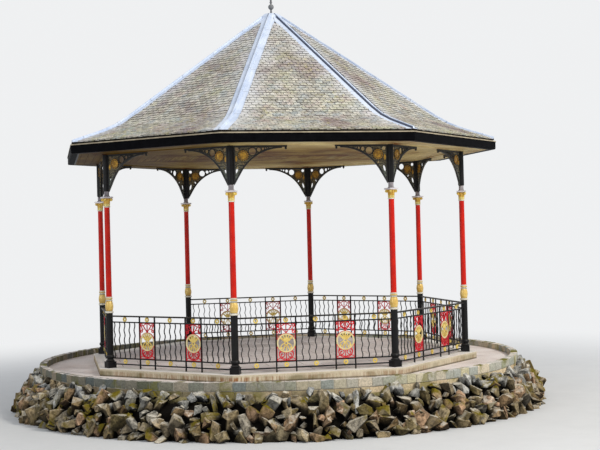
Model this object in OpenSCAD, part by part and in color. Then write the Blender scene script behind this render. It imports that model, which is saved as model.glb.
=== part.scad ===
// An eight-sided cast-iron bandstand on a round stone terrace with a rockery foot.
// Z is 0 at the water line, and X and Y are 0 on the vertical axis of the building.
// The front bay faces -Y, and the open entrance bay lies at 135 degrees.

/* [Setting out] */
// Radius of the circle through the eight column centres
column_circle_r = 3600; // [3450:10:3640]
// Height of the plinth top and floor above the water line
deck_z = 900; // [850:5:1000]

/* [Terrace and rockery] */
// Width of the paved walk from the plinth corners out to the kerb
walk_w = 637; // [527:10:777]
// Thickness of the terrace wall
terrace_wall_t = 115; // [90:5:160]
// How far the wall top stands below the plinth top
wall_top_drop = 28; // [10:1:60]
// Height of the kerb course on the terrace wall
kerb_course_h = 135; // [100:5:180]
// How far the kerb course stands out past the wall below it
kerb_projection = 12; // [4:1:20]
// How far the paving lies below the plinth top
paving_drop = 130; // [110:5:180]
// Thickness of the terrace paving
paving_t = 100; // [60:5:140]
// Width of the rockery slope at the water line
rockery_foot_w = 490; // [400:10:600]
// Width of the rockery at its top
rockery_top_w = 140; // [80:10:200]
// Height of the rockery above the water line
rockery_h = 660; // [500:10:700]
// Width of the main boulders of the rockery
boulder_w = 470; // [380:10:520]

/* [Plinth and floor] */
// Distance from the column centres out to the plinth edge at a corner
plinth_margin = 208; // [150:2:260]
// Width of the plinth stones, measured square to a side
plinth_stone_w = 340; // [280:5:420]
// Joint between two plinth stones, and between lengths of timber and gutter
mitre_joint = 2; // [1:0.5:5]

/* [Columns] */
// Width of the square block at the column foot
foot_block_w = 160; // [130:2:200]
// Height of the square block at the column foot
foot_block_h = 112; // [90:2:140]
// Radius of the black lower column
lower_column_r = 60; // [50:1:66]
// Height of the black lower column above the plinth
lower_column_top = 975; // [940:5:1100]
// Radius of the flange under the vase
vase_flange_r = 75; // [70:1:85]
// Height of the gold vase with its rings
vase_h = 290; // [260:5:320]
// Radius of the gold vase at its widest
vase_r = 73; // [66:1:80]
// Radius of the red shaft at its foot
shaft_foot_r = 52; // [46:1:56]
// Radius of the red shaft at its head
shaft_head_r = 49; // [43:1:52]
// Height of the red shaft
shaft_h = 1589; // [1400:1:1700]
// Height of the capital with its abacus
capital_h = 192; // [170:2:220]
// Width of the square abacus
abacus_w = 172; // [150:2:200]
// Radius of the neck above the capital
neck_r = 45; // [38:1:50]
// Height of the neck above the capital
neck_h = 124; // [80:2:160]
// Radius of the upper post that carries the brackets
post_r = 57; // [50:1:64]

/* [Railings] */
// Height of the handrail top above the plinth
rail_top_h = 932; // [920:1:960]
// Thickness of the handrail
handrail_t = 24; // [18:1:30]
// Width of the handrail
handrail_w = 64; // [50:1:80]
// Height of each flat rail and width of each stile
bar_w = 22; // [16:1:28]
// Thickness of the flat rails and stiles
bar_t = 20; // [14:1:26]
// Outer diameter of the rings between the rails
ring_d = 82; // [70:1:92]
// Diameter of the hole in each ring
ring_hole_d = 34; // [24:1:44]
// Thickness of the rings
ring_t = 16; // [10:1:20]
// Spacing of the rings along the bay
ring_pitch = 510; // [460:5:530]
// Height of the lowest rail above the plinth
foot_rail_h = 72; // [60:1:90]
// Spacing between the two stiles of a scroll panel
stile_pitch = 340; // [300:2:360]
// Width and thickness of a wavy bar
wavy_bar_w = 14; // [10:1:18]
// Spacing of the wavy bars
wavy_pitch = 116; // [104:1:120]
// Sideways swing of a wavy bar to either side
wave_swing = 11; // [6:1:16]
// Number of waves in one bar
wave_count = 3.5; // [2.5:0.5:5]
// Thickness of the scroll panels
scroll_work_t = 14; // [10:1:18]
// Width of one scroll
scroll_bar_w = 13; // [9:1:16]
// Width of the medallion rim
medallion_rim_w = 25; // [18:1:32]
// Thickness of the medallion
medallion_t = 18; // [12:1:20]
// Height of the medallion centre above the plinth
medallion_h = 482; // [460:2:510]

/* [Brackets] */
// Reach of a bracket from the column centre along the bay
bracket_reach = 965; // [900:5:1040]
// Height of the bracket bar under the beam
bracket_bar_h = 30; // [22:1:36]
// Thickness of the bracket bars
bracket_bar_t = 30; // [22:1:40]
// Width of the curved bar
curved_bar_w = 26; // [18:1:34]
// Radius of the curved bar on its underside
bracket_curve_r = 800; // [760:5:840]
// Steepness of the straight foot of the curved bar, in degrees
bracket_foot_angle = 60; // [57:1:63]
// Drop of the bracket foot below the beam
bracket_drop = 664; // [640:2:700]
// Thickness of the pierced web
web_t = 10; // [6:1:14]
// Distance of the rosette centre from the column centre
rosette_reach = 217; // [205:1:230]
// Distance of the rosette centre below the beam
rosette_drop = 168; // [160:1:190]
// Outer radius of the ring round the rosette
rosette_ring_r = 92; // [80:1:100]
// Radius of the gold rosette
rosette_r = 61; // [50:1:66]
// Length of the gold leaf between the post and the rosette
gold_leaf_h = 107; // [80:1:120]
// Width of the gold leaf between the post and the rosette
gold_leaf_w = 40; // [30:1:44]
// Length of the drop pendant at the bracket tip
pendant_h = 62; // [40:2:90]

/* [Beam, ceiling and eaves] */
// Height of the beam underside above the plinth
beam_h = 3792; // [3700:2:3900]
// Width of the ring beam
beam_w = 120; // [90:2:150]
// How far the ceiling and soffit boards lie above the beam underside
board_recess = 14; // [8:1:30]
// Thickness of the ceiling and soffit boards
board_t = 22; // [16:1:30]
// Thickness of the fascia behind the gutter
fascia_t = 28; // [20:1:36]
// Width of the gutter
gutter_w = 120; // [100:2:140]
// Height of the gutter with its lip
gutter_h = 162; // [140:2:170]
// Wall of the gutter
gutter_wall = 8; // [5:1:12]
// Height of the pale gutter lip
gutter_lip_h = 33; // [24:1:44]

/* [Roof] */
// How far the slate edge stands out past the column line, square to a side
eaves_reach = 590; // [540:5:660]
// How far the slates reach out over the back of the gutter
slate_overhang = 96; // [80:2:110]
// Height of the top of the slate edge above the beam underside
slate_edge_rise = 214; // [206:2:260]
// Thickness of the slates at the eave
slate_t = 24; // [16:1:30]
// Thickness of the roof boarding
roof_board_t = 26; // [20:1:36]
// Rise of the lower slope over its run
lower_pitch = 0.365; // [0.32:0.005:0.42]
// Rise of the main slope over its run
main_pitch = 0.7546; // [0.7:0.005:0.82]
// Width of the flatter slope from the slate edge in to the kick
kick_w = 760; // [680:10:900]
// Length over which the kick is eased, to either side of it
kick_ease = 240; // [60:10:300]
// Width of the lead on each side of a hip
lead_w = 130; // [100:5:200]
// Thickness of the lead
lead_t = 5; // [3:0.5:8]
// Radius of the roll along each hip
hip_roll_r = 21; // [16:1:30]
// Distance from the axis to the edge of the lead cap at the apex, square to a side
apex_cap_r = 205; // [160:5:260]
// Distance from the axis to the top of the roof slopes, square to a side
apex_hole_r = 90; // [80:2:110]

/* [Finial] */
// Radius of the finial ball
finial_ball_r = 55; // [46:1:70]
// Height of the ball centre above the foot of the finial
finial_ball_h = 142; // [120:2:170]
// Radius of the knop above the ball
finial_knop_r = 26; // [20:1:34]
// Height of the spike above the ball
finial_spike_h = 330; // [260:10:400]
// Radius of the finial's spigot in the apex cap
finial_spigot_r = 60; // [50:1:70]

/* [Hidden] */
sides = 8;
turn = 360 / sides;
half = turn / 2;
fit = 0.3;
$fn = 64;

// Setting out worked out from the values above
column_flat_r = column_circle_r * cos(half);
bay_half = column_circle_r * sin(half);
plinth_flat_r = (column_circle_r + plinth_margin) * cos(half);
kerb_top_z = deck_z - wall_top_drop;
paving_z = deck_z - paving_drop;
core_z = paving_z - paving_t;
core_r = column_circle_r + plinth_margin + walk_w;
terrace_r = core_r + terrace_wall_t;
wall_face_r = terrace_r - kerb_projection;
rockery_foot_r = wall_face_r + rockery_foot_w;
vase_foot_z = deck_z + lower_column_top;
shaft_foot_z = vase_foot_z + vase_h;
capital_foot_z = shaft_foot_z + shaft_h;
neck_foot_z = capital_foot_z + capital_h;
post_foot_z = neck_foot_z + neck_h;
beam_z = deck_z + beam_h;
board_z = beam_z + board_recess;
slate_edge_r = column_flat_r + eaves_reach;
gutter_back_r = slate_edge_r - slate_overhang;
gutter_front_r = gutter_back_r + gutter_w;
gutter_z = beam_z + board_recess;
fascia_back_r = gutter_back_r - fascia_t;
slate_edge_z = beam_z + slate_edge_rise;

// Railing heights, measured from the plinth top
handrail_foot = rail_top_h - handrail_t;
frieze_rail_h = handrail_foot - ring_d - bar_w / 2;
base_rail_h = foot_rail_h + ring_d + bar_w;
panel_foot = base_rail_h + bar_w / 2;
panel_head = frieze_rail_h - bar_w / 2;
panel_half = stile_pitch / 2 - bar_w / 2;
medallion_r = panel_half - fit;
stile_in = ring_pitch - stile_pitch / 2;
stile_out = ring_pitch + stile_pitch / 2;

// Angles of the seven railed bays, counted from the front bay
BAY_TURNS = [0, 45, 90, 135, 180, 270, 315];
RING_SPOTS = [-2, -1, 0, 1, 2];

// Height of the roof surface at a distance from the axis, square to a side
kick_r = slate_edge_r - kick_w;
kick_z = slate_edge_z + (slate_edge_r - kick_r) * lower_pitch;
function roof_z(r) =
    r > kick_r + kick_ease ? kick_z - (r - kick_r) * lower_pitch
    : r < kick_r - kick_ease ? kick_z + (kick_r - r) * main_pitch
    : kick_z - (r - kick_r) * lower_pitch
        + (main_pitch - lower_pitch) * pow(kick_r + kick_ease - r, 2) / (4 * kick_ease);
roof_t = slate_t + roof_board_t;
apex_z = roof_z(0);
apex_top_z = roof_z(apex_hole_r) + fit + 2 * lead_t;
KICK_RS = [kick_r - kick_ease, kick_r, kick_r + kick_ease];

// Prism with eight sides, its flats at distance r from the axis and one facing -Y
module eight_sided(r, h) {
    rotate(half) cylinder(r = r / cos(half), h = h, $fn = sides);
}

// Copies the children to the eight column centres
module at_columns() {
    for (i = [0 : sides - 1])
        rotate(half + i * turn) translate([column_circle_r, 0, 0]) children();
}

// Copies the children, built at the front, to the railed bays
module at_railed_bays() {
    for (a = BAY_TURNS) rotate(a) children();
}

// Stands a flat outline up in the plane of the front bay, its Y measured up from height z
module in_bay(z, t) {
    translate([0, -column_flat_r, z]) rotate([90, 0, 0])
        linear_extrude(height = t, center = true) children();
}

// Plan of one side between its two mitre lines, with a joint left at each
module side_plan(r_in, r_out, joint) {
    k = tan(half);
    g = joint / 2 / cos(half);
    polygon([[-r_in * k + g, -r_in], [-r_out * k + g, -r_out],
        [r_out * k - g, -r_out], [r_in * k - g, -r_in]]);
}

// Ring of eight mitred lengths with a plain rectangular section
module mitred_ring(r_in, r_out, h, joint) {
    for (i = [0 : sides - 1])
        rotate(i * turn) linear_extrude(height = h) side_plan(r_in, r_out, joint);
}

// One mitred length of any section, given as points of distance from the axis and height
module mitred_length(section, joint) {
    reach = max([for (p = section) p[0]]);
    intersection() {
        translate([reach, 0, 0]) rotate([90, 0, -90])
            linear_extrude(height = 2 * reach)
                polygon([for (p = section) [p[0], p[1]]]);
        linear_extrude(height = 2 * apex_z) side_plan(2 * abs(joint) + 1, 1.1 * reach, joint);
    }
}

// Flat ring
module ring_2d(r, w) {
    difference() {
        circle(r);
        circle(r - w);
    }
}

// Leaf with two curved edges, its foot at 0 and its tip up along Y
module leaf_2d(length, width) {
    r = (length * length + width * width) / (4 * width);
    translate([0, length / 2]) intersection() {
        translate([r - width / 2, 0]) circle(r);
        translate([width / 2 - r, 0]) circle(r);
    }
}

// Curved band between two angles
module arc_2d(r, w, from, to) {
    far = 3 * r;
    mid = (from + to) / 2;
    intersection() {
        ring_2d(r + w / 2, w);
        polygon([[0, 0], [far * cos(from), far * sin(from)],
            [far * cos(mid), far * sin(mid)], [far * cos(to), far * sin(to)]]);
    }
}

// Outline of the rockery slope: distance from the axis and height at a share of the height
SLOPE = [[0, rockery_foot_w], [0.35, rockery_foot_w * 0.94], [0.75, rockery_foot_w * 0.66],
    [1, rockery_top_w]];
function slope_r(f) = wall_face_r + lookup(f, SLOPE);

// Share of the height, width as a share of boulder_w and first turn of each row of boulders
BOULDER_ROWS = [[0.2, 1.06, 0], [0.7, 0.94, 3.6]];
boulder_count = floor(2 * PI * rockery_foot_r / boulder_w / 1.2);
function wander(n) = sin(n * 137.5);

// One angular boulder, its form set by a number
module boulder(w, n) {
    intersection() {
        rotate([14 * wander(n), 11 * wander(n + 5), 90 * wander(n + 2)])
            cube([w, w * 0.84, w * 0.72], center = true);
        rotate([38 + 14 * wander(n + 3), 30 * wander(n + 1), 45 + 30 * wander(n + 4)])
            cube([w * 0.96, w * 0.96, w * 0.96], center = true);
    }
}

// Rockery mass round the foot of the terrace, with its main boulders
module rockery() {
    step = 360 / boulder_count;
    color("darkolivegreen") difference() {
        union() {
            rotate_extrude($fn = 128) polygon(concat([[wall_face_r + fit, 0]],
                [for (p = SLOPE) [wall_face_r + p[1] - boulder_w * 0.1, p[0] * rockery_h]],
                [[wall_face_r + fit, rockery_h]]));
            for (row = [0 : 1], i = [0 : boulder_count - 1]) {
                n = 100 * row + i;
                w = boulder_w * BOULDER_ROWS[row][1] * (1 + 0.14 * wander(n + 7));
                f = BOULDER_ROWS[row][0] + 0.03 * wander(n + 9);
                rotate(BOULDER_ROWS[row][2] + (i + 0.16 * wander(n + 6)) * step)
                    translate([slope_r(f) - w * 0.36, 0, f * rockery_h]) boulder(w, n);
            }
        }
        translate([0, 0, -boulder_w]) cylinder(r = 2 * rockery_foot_r, h = boulder_w);
        translate([0, 0, -1])
            cylinder(r = wall_face_r + fit, h = 2 * rockery_h, $fn = 128);
    }
}

// Packed fill inside the terrace wall
module island_core() {
    color("dimgray") cylinder(r = core_r, h = core_z, $fn = 128);
}

// Round wall below the kerb course
module terrace_wall() {
    color("peru") difference() {
        cylinder(r = wall_face_r, h = kerb_top_z - kerb_course_h, $fn = 128);
        translate([0, 0, -1])
            cylinder(r = core_r, h = kerb_top_z, $fn = 128);
    }
}

// Kerb course that stands up round the paving
module terrace_kerb() {
    color("lightslategray") translate([0, 0, kerb_top_z - kerb_course_h])
        difference() {
            cylinder(r = terrace_r, h = kerb_course_h, $fn = 128);
            translate([0, 0, -1]) cylinder(r = core_r, h = kerb_course_h + 2, $fn = 128);
        }
}

// Paved walk between the plinth and the kerb
module terrace_paving() {
    color("rosybrown") translate([0, 0, core_z]) difference() {
        cylinder(r = core_r, h = paving_t, $fn = 128);
        translate([0, 0, -1]) eight_sided(plinth_flat_r, paving_t + 2);
    }
}

// Eight long stones that carry the columns
module plinth_stones() {
    color("tan") translate([0, 0, core_z])
        mitred_ring(plinth_flat_r - plinth_stone_w, plinth_flat_r,
            deck_z - core_z, mitre_joint);
}

// Stone floor inside the plinth stones
module floor() {
    color("lightgray") translate([0, 0, core_z])
        eight_sided(plinth_flat_r - plinth_stone_w, deck_z - core_z);
}

// Foot of one column up to the flange, grown by a clearance where it cuts another piece
module column_foot(grow) {
    w = foot_block_w + 2 * grow;
    bead = 14;
    bead_c = foot_block_w / 2 - bead;
    bulb_z = foot_block_h + 84;
    bulb = 46;
    translate([0, 0, deck_z]) {
        translate([-w / 2, -w / 2, 0]) cube([w, w, foot_block_h + grow]);
        rotate_extrude() polygon(concat(
            [[0, foot_block_h - 5], [bead_c, foot_block_h - 5]],
            [for (a = [-90 : 30 : 90])
                [bead_c + (bead + grow) * cos(a), foot_block_h + bead + (bead + grow) * sin(a)]],
            [[lower_column_r + grow, foot_block_h + 2 * bead + 8]],
            [for (a = [-55 : 22 : 55])
                [lower_column_r - 28 + (bulb + grow) * cos(a), bulb_z + (bulb + grow) * sin(a)]],
            [[lower_column_r + grow, bulb_z + bulb],
                [lower_column_r + grow, lower_column_top], [0, lower_column_top]]));
    }
}

// Black lower parts of the eight columns
module column_feet() {
    color("darkslategray") at_columns() column_foot(0);
}

// Gold vases between two cream flanges
module column_vases() {
    waist = vase_r - 18;
    belly_h = vase_h * 0.62;
    color("gold") at_columns() translate([0, 0, vase_foot_z]) rotate_extrude()
        polygon(concat(
            [[0, 0], [vase_flange_r - 6, 0], [vase_flange_r, 6], [vase_flange_r, 26],
                [vase_flange_r - 8, 34], [waist + 4, 36]],
            [for (i = [0 : 8])
                [waist + (vase_r - waist) * sin(180 * i / 8 * 0.92 + 12), 40 + i / 8 * (belly_h - 10)]],
            [[waist + 6, belly_h + 38], [waist + 6, belly_h + 48], [shaft_foot_r - 3, belly_h + 52],
                [shaft_foot_r - 3, belly_h + 58], [shaft_foot_r + 11, belly_h + 62],
                [shaft_foot_r + 11, vase_h - 32], [shaft_foot_r, vase_h - 27],
                [shaft_foot_r, vase_h - 21], [shaft_foot_r + 10, vase_h - 16],
                [shaft_foot_r + 10, vase_h - 4], [shaft_foot_r + 4, vase_h], [0, vase_h]]));
}

// Red tapered shafts
module column_shafts() {
    color("red") at_columns() translate([0, 0, shaft_foot_z])
        cylinder(r1 = shaft_foot_r, r2 = shaft_head_r, h = shaft_h);
}

// One upright leaf on the bell of a capital, curling out at its tip
module capital_leaf(bell_foot, bell_head, h) {
    rotate(-14) rotate_extrude(angle = 28)
        polygon([[bell_foot - 30, 2], [bell_foot + 7, 2], [bell_foot + 8, h * 0.5],
            [bell_foot + 16, h * 0.82], [bell_head + 8, h * 0.93], [bell_head + 10, h],
            [bell_foot - 30, h]]);
}

// Leafed bell capitals with a square abacus
module column_capitals() {
    astragal = 11;
    bell_h = capital_h - 28;
    bell_head = abacus_w / 2 - 22;
    color("goldenrod") at_columns() translate([0, 0, capital_foot_z]) {
        rotate_extrude() polygon(concat(
            [[0, 0], [shaft_head_r, 0]],
            [for (a = [-90 : 30 : 90])
                [shaft_head_r + astragal * cos(a), astragal + astragal * sin(a)]],
            [[shaft_head_r, 2 * astragal]],
            [for (i = [1 : 6])
                [shaft_head_r + (bell_head - shaft_head_r) * (1 - cos(15 * i)),
                    2 * astragal + (bell_h - 2 * astragal) * i / 6]],
            [[0, bell_h]]));
        for (a = [0 : 45 : 315]) rotate(a) translate([0, 0, 2 * astragal])
            capital_leaf(shaft_head_r, bell_head, bell_h - 2 * astragal - 8);
        translate([-abacus_w / 2, -abacus_w / 2, bell_h])
            cube([abacus_w, abacus_w, capital_h - bell_h]);
    }
}

// Necks and upper posts that carry the beam and the brackets
module upper_posts() {
    step = 18;
    color("dimgray") at_columns() translate([0, 0, neck_foot_z]) rotate_extrude()
        polygon([[0, 0], [neck_r + 12, 0], [neck_r + 12, 10], [neck_r, 22], [neck_r, neck_h - 30],
            [neck_r + 8, neck_h - 20], [post_r, neck_h - step], [post_r, beam_z - neck_foot_z],
            [0, beam_z - neck_foot_z]]);
}

// Outline of one wavy bar standing at x
module wavy_bar_2d(x) {
    steps = 6 * wave_count;
    foot = panel_foot - 2;
    rise = panel_head + 2 - foot;
    polygon(concat(
        [for (i = [0 : steps])
            [x - wavy_bar_w / 2 + wave_swing * sin(360 * wave_count * i / steps),
                foot + rise * i / steps]],
        [for (i = [steps : -1 : 0])
            [x + wavy_bar_w / 2 + wave_swing * sin(360 * wave_count * i / steps),
                foot + rise * i / steps]]));
}

// One flat rail of a bay, centred at height h
module rail_2d(h) {
    translate([-bay_half, h - bar_w / 2]) square([2 * bay_half, bar_w]);
}

// Cast railing of one bay: handrail, rails, stiles and wavy bars
module railing(a) {
    color("black") rotate(a) difference() {
        union() {
            translate([0, -column_flat_r, deck_z + handrail_foot]) rotate([90, 0, 90])
                linear_extrude(height = 2 * bay_half, center = true)
                    polygon([[-handrail_w / 2, 0], [handrail_w / 2, 0],
                        [handrail_w / 2, handrail_t * 0.6], [handrail_w * 0.36, handrail_t],
                        [-handrail_w * 0.36, handrail_t], [-handrail_w / 2, handrail_t * 0.6]]);
            in_bay(deck_z, bar_t) {
                rail_2d(foot_rail_h);
                rail_2d(base_rail_h);
                rail_2d(frieze_rail_h);
                for (x = [stile_in, stile_out], m = [-1, 1])
                    translate([m * x - bar_w / 2, 0]) square([bar_w, handrail_foot + 1]);
            }
            for (k = [-2 : 2]) {
                in_bay(deck_z, wavy_bar_w) wavy_bar_2d(k * wavy_pitch);
                for (m = [-1, 1])
                    in_bay(deck_z, wavy_bar_w)
                        wavy_bar_2d(m * (2 * ring_pitch + k * wavy_pitch + bar_w / 2));
            }
        }
        for (m = [-1, 1])
            translate([m * bay_half, -column_flat_r, 0]) rotate(m * half - 90)
                column_foot(fit);
    }
}

// Gold rings between the rails of every railing
module rail_rings() {
    color("gold") at_railed_bays()
        for (k = RING_SPOTS, h = [foot_rail_h + bar_w / 2, frieze_rail_h + bar_w / 2])
            in_bay(deck_z, ring_t) translate([k * ring_pitch, h + ring_d / 2])
                ring_2d(ring_d / 2 - fit, (ring_d - ring_hole_d) / 2);
}

// Straight bar between two points
module bar_2d(from, to, w) {
    d = to - from;
    translate(from) rotate(atan2(d[1], d[0])) translate([0, -w / 2]) square([norm(d), w]);
}

// Medallion: a fan of five rays over two splayed bars and curls, inside a round rim
module medallion_2d() {
    r = medallion_r;
    rim_in = r - medallion_rim_w + 2;
    hub_r = r * 0.23;
    ring_2d(r, medallion_rim_w);
    ring_2d(hub_r, hub_r * 0.52);
    arc_2d(r * 0.38, r * 0.32, 40, 140);
    for (a = [-45, 45])
        rotate(a) translate([-r * 0.095, r * 0.3]) square([r * 0.19, rim_in - r * 0.3]);
    for (a = [-21, 0, 21])
        rotate(a) translate([-r * 0.065, r * 0.4]) square([r * 0.13, rim_in - r * 0.4]);
    translate([-r * 0.04, -rim_in]) square([r * 0.08, rim_in - hub_r * 0.8]);
    for (m = [0, 1]) mirror([m, 0, 0]) {
        rotate(26) translate([-r * 0.055, -rim_in]) square([r * 0.11, rim_in - hub_r * 0.8]);
        translate([r * 0.54, -r * 0.52]) circle(r * 0.13);
        translate([r * 0.22, -r * 0.4]) arc_2d(r * 0.33, r * 0.09, -18, 96);
    }
}

// Gold medallions in the middle of every scroll panel
module rail_medallions() {
    color("gold") at_railed_bays() for (m = [-1, 1])
        in_bay(deck_z, medallion_t) translate([m * ring_pitch, medallion_h]) medallion_2d();
}

// Space of a scroll panel above or below its medallion
module scroll_field_2d(foot, head) {
    difference() {
        translate([-panel_half + fit, foot + fit])
            square([2 * (panel_half - fit), head - foot - 2 * fit]);
        translate([0, medallion_h]) circle(medallion_r + fit);
    }
}

// Narrow edge that ties the scrolls of a panel together
module scroll_edge_2d(foot, head) {
    edge = scroll_bar_w * 0.6;
    difference() {
        translate([-panel_half, foot]) square([2 * panel_half, head - foot]);
        translate([-panel_half + edge, foot + edge])
            square([2 * (panel_half - edge), head - foot - 2 * edge]);
    }
    translate([0, medallion_h]) ring_2d(medallion_r + edge, edge);
}

// Scrolls of a panel, measured from the medallion centre: stem, kite and side scrolls above,
// two spirals over two arches below
module scroll_work_2d() {
    r = medallion_r;
    w = scroll_bar_w;
    head = panel_head - medallion_h;
    foot = panel_foot - medallion_h;
    translate([-w / 2, foot]) square([w, head - foot]);
    for (m = [0, 1]) mirror([m, 0, 0]) {
        bar_2d([0, r * 1.04], [r * 0.56, head * 0.87], w);
        bar_2d([r * 0.56, head * 0.87], [r * 0.06, head], w);
        translate([r * 0.56, head * 0.87]) circle(w * 0.75);
        translate([r * 1.9, r * 1.1]) arc_2d(r * 1.24, w, 141, 177);
        translate([r * 0.8, r * 1.16]) ring_2d(r * 0.16, w);
        translate([r * 0.83, head - r * 0.18]) ring_2d(r * 0.17, w);
        bar_2d([r * 0.3, head * 0.7], [r * 0.66, head * 0.68], w * 0.8);
        translate([r * 0.15, foot + r * 0.71]) arc_2d(r * 0.6, w * 1.2, -92, 44);
        translate([r * 0.45, foot + r * 0.66]) {
            arc_2d(r * 0.28, w, 15, 252);
            translate([-r * 0.041, -r * 0.113]) {
                arc_2d(r * 0.16, w, 245, 428);
                translate([r * 0.06, r * 0.148]) circle(r * 0.085);
            }
        }
        translate([r * 0.5, foot - r * 0.315]) arc_2d(r * 0.625, w, 32, 146);
    }
}

// Red openwork scroll panels above and below every medallion
module scroll_panels() {
    split = medallion_r * 0.35;
    color("crimson") at_railed_bays() for (m = [-1, 1]) translate([m * ring_pitch, 0, 0])
        in_bay(deck_z, scroll_work_t)
            for (f = [[panel_foot, medallion_h - split], [medallion_h + split, panel_head]])
                intersection() {
                    scroll_field_2d(f[0], f[1]);
                    union() {
                        scroll_edge_2d(panel_foot, panel_head);
                        translate([0, medallion_h]) scroll_work_2d();
                    }
                }
}

// Bracket geometry, measured from the column centre and down from the beam
curve_top = -bracket_bar_h - 17;
curve_rise = bracket_curve_r * (1 - cos(bracket_foot_angle));
foot_run = (bracket_drop + curve_top - curve_rise) / tan(bracket_foot_angle);
curve_cx = post_r + foot_run + bracket_curve_r * sin(bracket_foot_angle);
curve_cy = curve_top - bracket_curve_r;
curve_start = [curve_cx - bracket_curve_r * sin(bracket_foot_angle), curve_top - curve_rise];
strip_w = 18;

// Radius of a circle that touches the top bar and the curved bar, d short of the curve's crown
channel_out = bracket_curve_r + curved_bar_w;
channel_h = -bracket_bar_h - curve_cy;
function channel_r(d) =
    (d * d - channel_out * channel_out + channel_h * channel_h) / (2 * (channel_out + channel_h));
function next_d(d, guess, n) = n == 0 ? guess
    : next_d(d, d - 2 * sqrt(channel_r(d) * channel_r(guess)), n - 1);
first_d = curve_cx - rosette_reach - rosette_ring_r - 62;
second_d = next_d(first_d, first_d * 0.8, 8);
third_d = next_d(second_d, second_d * 0.85, 8);
fourth_d = next_d(third_d, third_d * 0.88, 8);
fifth_d = next_d(fourth_d, fourth_d * 0.9, 8);
CHANNEL_DS = [first_d, second_d, third_d, fourth_d, fifth_d];

// Area between the post, the top bar and the curved bar
module bracket_area_2d() {
    difference() {
        polygon([[post_r + fit, -bracket_drop], [post_r + fit, 0], [curve_cx, 0],
            [curve_cx, curve_top], curve_start]);
        translate([curve_cx, curve_cy]) circle(bracket_curve_r, $fn = 128);
    }
}

// Bars round the edge of a bracket
module bracket_frame_2d() {
    intersection() {
        bracket_area_2d();
        union() {
            translate([post_r + fit, -bracket_drop]) square([strip_w, bracket_drop]);
            translate([curve_cx, curve_cy]) ring_2d(channel_out, curved_bar_w, $fn = 128);
            translate(curve_start) rotate(bracket_foot_angle)
                translate([-bracket_drop, 0]) square([bracket_drop, curved_bar_w]);
        }
    }
    translate([post_r + fit, -bracket_bar_h])
        square([bracket_reach - post_r - fit, bracket_bar_h]);
    for (d = CHANNEL_DS)
        translate([curve_cx - d, -bracket_bar_h - channel_r(d)])
            ring_2d(channel_r(d) + 1, 6 + channel_r(d) * 0.1);
    translate([rosette_reach, -rosette_drop]) ring_2d(rosette_ring_r, 20);
}

// Gold leaf between the post and the rosette, shrunk by a clearance
module gold_leaf_2d(gap) {
    translate([post_r + strip_w + gold_leaf_w / 2 + 2, gap - rosette_drop - gold_leaf_h])
        leaf_2d(gold_leaf_h - 2 * gap, gold_leaf_w - 2 * gap);
}

// Holes pierced through the web of a bracket
module bracket_piercings_2d() {
    hook = post_r + strip_w;
    for (d = CHANNEL_DS)
        translate([curve_cx - d, -bracket_bar_h - channel_r(d)]) circle(channel_r(d) - 4);
    translate([rosette_reach, -rosette_drop]) circle(rosette_r + fit);
    translate([hook + 38, -bracket_bar_h - 38]) circle(30);
    gold_leaf_2d(0);
    translate([hook + 17, -bracket_drop * 0.7]) rotate(-15) leaf_2d(bracket_drop * 0.19, 34);
    translate([rosette_reach + 12, -rosette_drop - rosette_ring_r - 66]) rotate(30)
        leaf_2d(52, 22);
}

// One bracket at the left end of the front bay
module bracket() {
    translate([-bay_half, 0, 0]) {
        in_bay(beam_z, bracket_bar_t) bracket_frame_2d();
        in_bay(beam_z, web_t) difference() {
            bracket_area_2d();
            bracket_piercings_2d();
        }
        translate([bracket_reach - 24, -column_flat_r, beam_z - bracket_bar_h - pendant_h * 0.3]) {
            cylinder(r = 16, h = pendant_h * 0.3 + 2);
            sphere(r = 21);
        }
    }
}

// The two brackets of one bay
module bay_brackets(a) {
    color("darkslategray") rotate(a) {
        bracket();
        mirror([1, 0, 0]) bracket();
    }
}

// One gold rosette of eight petals
module rosette() {
    t = web_t;
    in_bay(beam_z, t) circle(rosette_r);
    in_bay(beam_z, t + 14) for (a = [0 : 45 : 315])
        rotate(a) translate([0, rosette_r * 0.18]) leaf_2d(rosette_r * 0.8, rosette_r * 0.34);
    in_bay(beam_z, t + 22) circle(rosette_r * 0.26);
}

// Gold rosettes in the rings of the brackets, each with a gold leaf beside it
module bracket_rosettes() {
    color("gold") for (i = [0 : sides - 1], m = [0, 1]) rotate(i * turn) mirror([m, 0, 0]) {
        translate([rosette_reach - bay_half, 0, -rosette_drop]) rosette();
        translate([-bay_half, 0, 0]) in_bay(beam_z, web_t + 10) gold_leaf_2d(2 * fit);
    }
}

// Timber ring beam on the column heads, cut to the roof slope on top
module ring_beam() {
    r_in = column_flat_r - beam_w / 2;
    r_out = column_flat_r + beam_w / 2;
    color("wheat") for (i = [0 : sides - 1]) rotate(i * turn)
        mitred_length([[r_in, beam_z], [r_out, beam_z], [r_out, roof_z(r_out) - roof_t - fit],
            [r_in, roof_z(r_in) - roof_t - fit]], mitre_joint);
}

// Boarded ceiling inside the ring beam
module ceiling() {
    color("wheat") translate([0, 0, board_z])
        eight_sided(column_flat_r - beam_w / 2 - fit, board_t);
}

// Boarded soffit between the ring beam and the fascia
module eaves_soffit() {
    color("wheat") translate([0, 0, board_z])
        mitred_ring(column_flat_r + beam_w / 2 + fit, fascia_back_r - fit, board_t, mitre_joint);
}

// Fascia boards behind the gutter
module fascia() {
    color("wheat") for (i = [0 : sides - 1]) rotate(i * turn)
        mitred_length([[fascia_back_r, board_z], [gutter_back_r, board_z],
            [gutter_back_r, roof_z(gutter_back_r) - roof_t - fit],
            [fascia_back_r, roof_z(fascia_back_r) - roof_t - fit]], mitre_joint);
}

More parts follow.
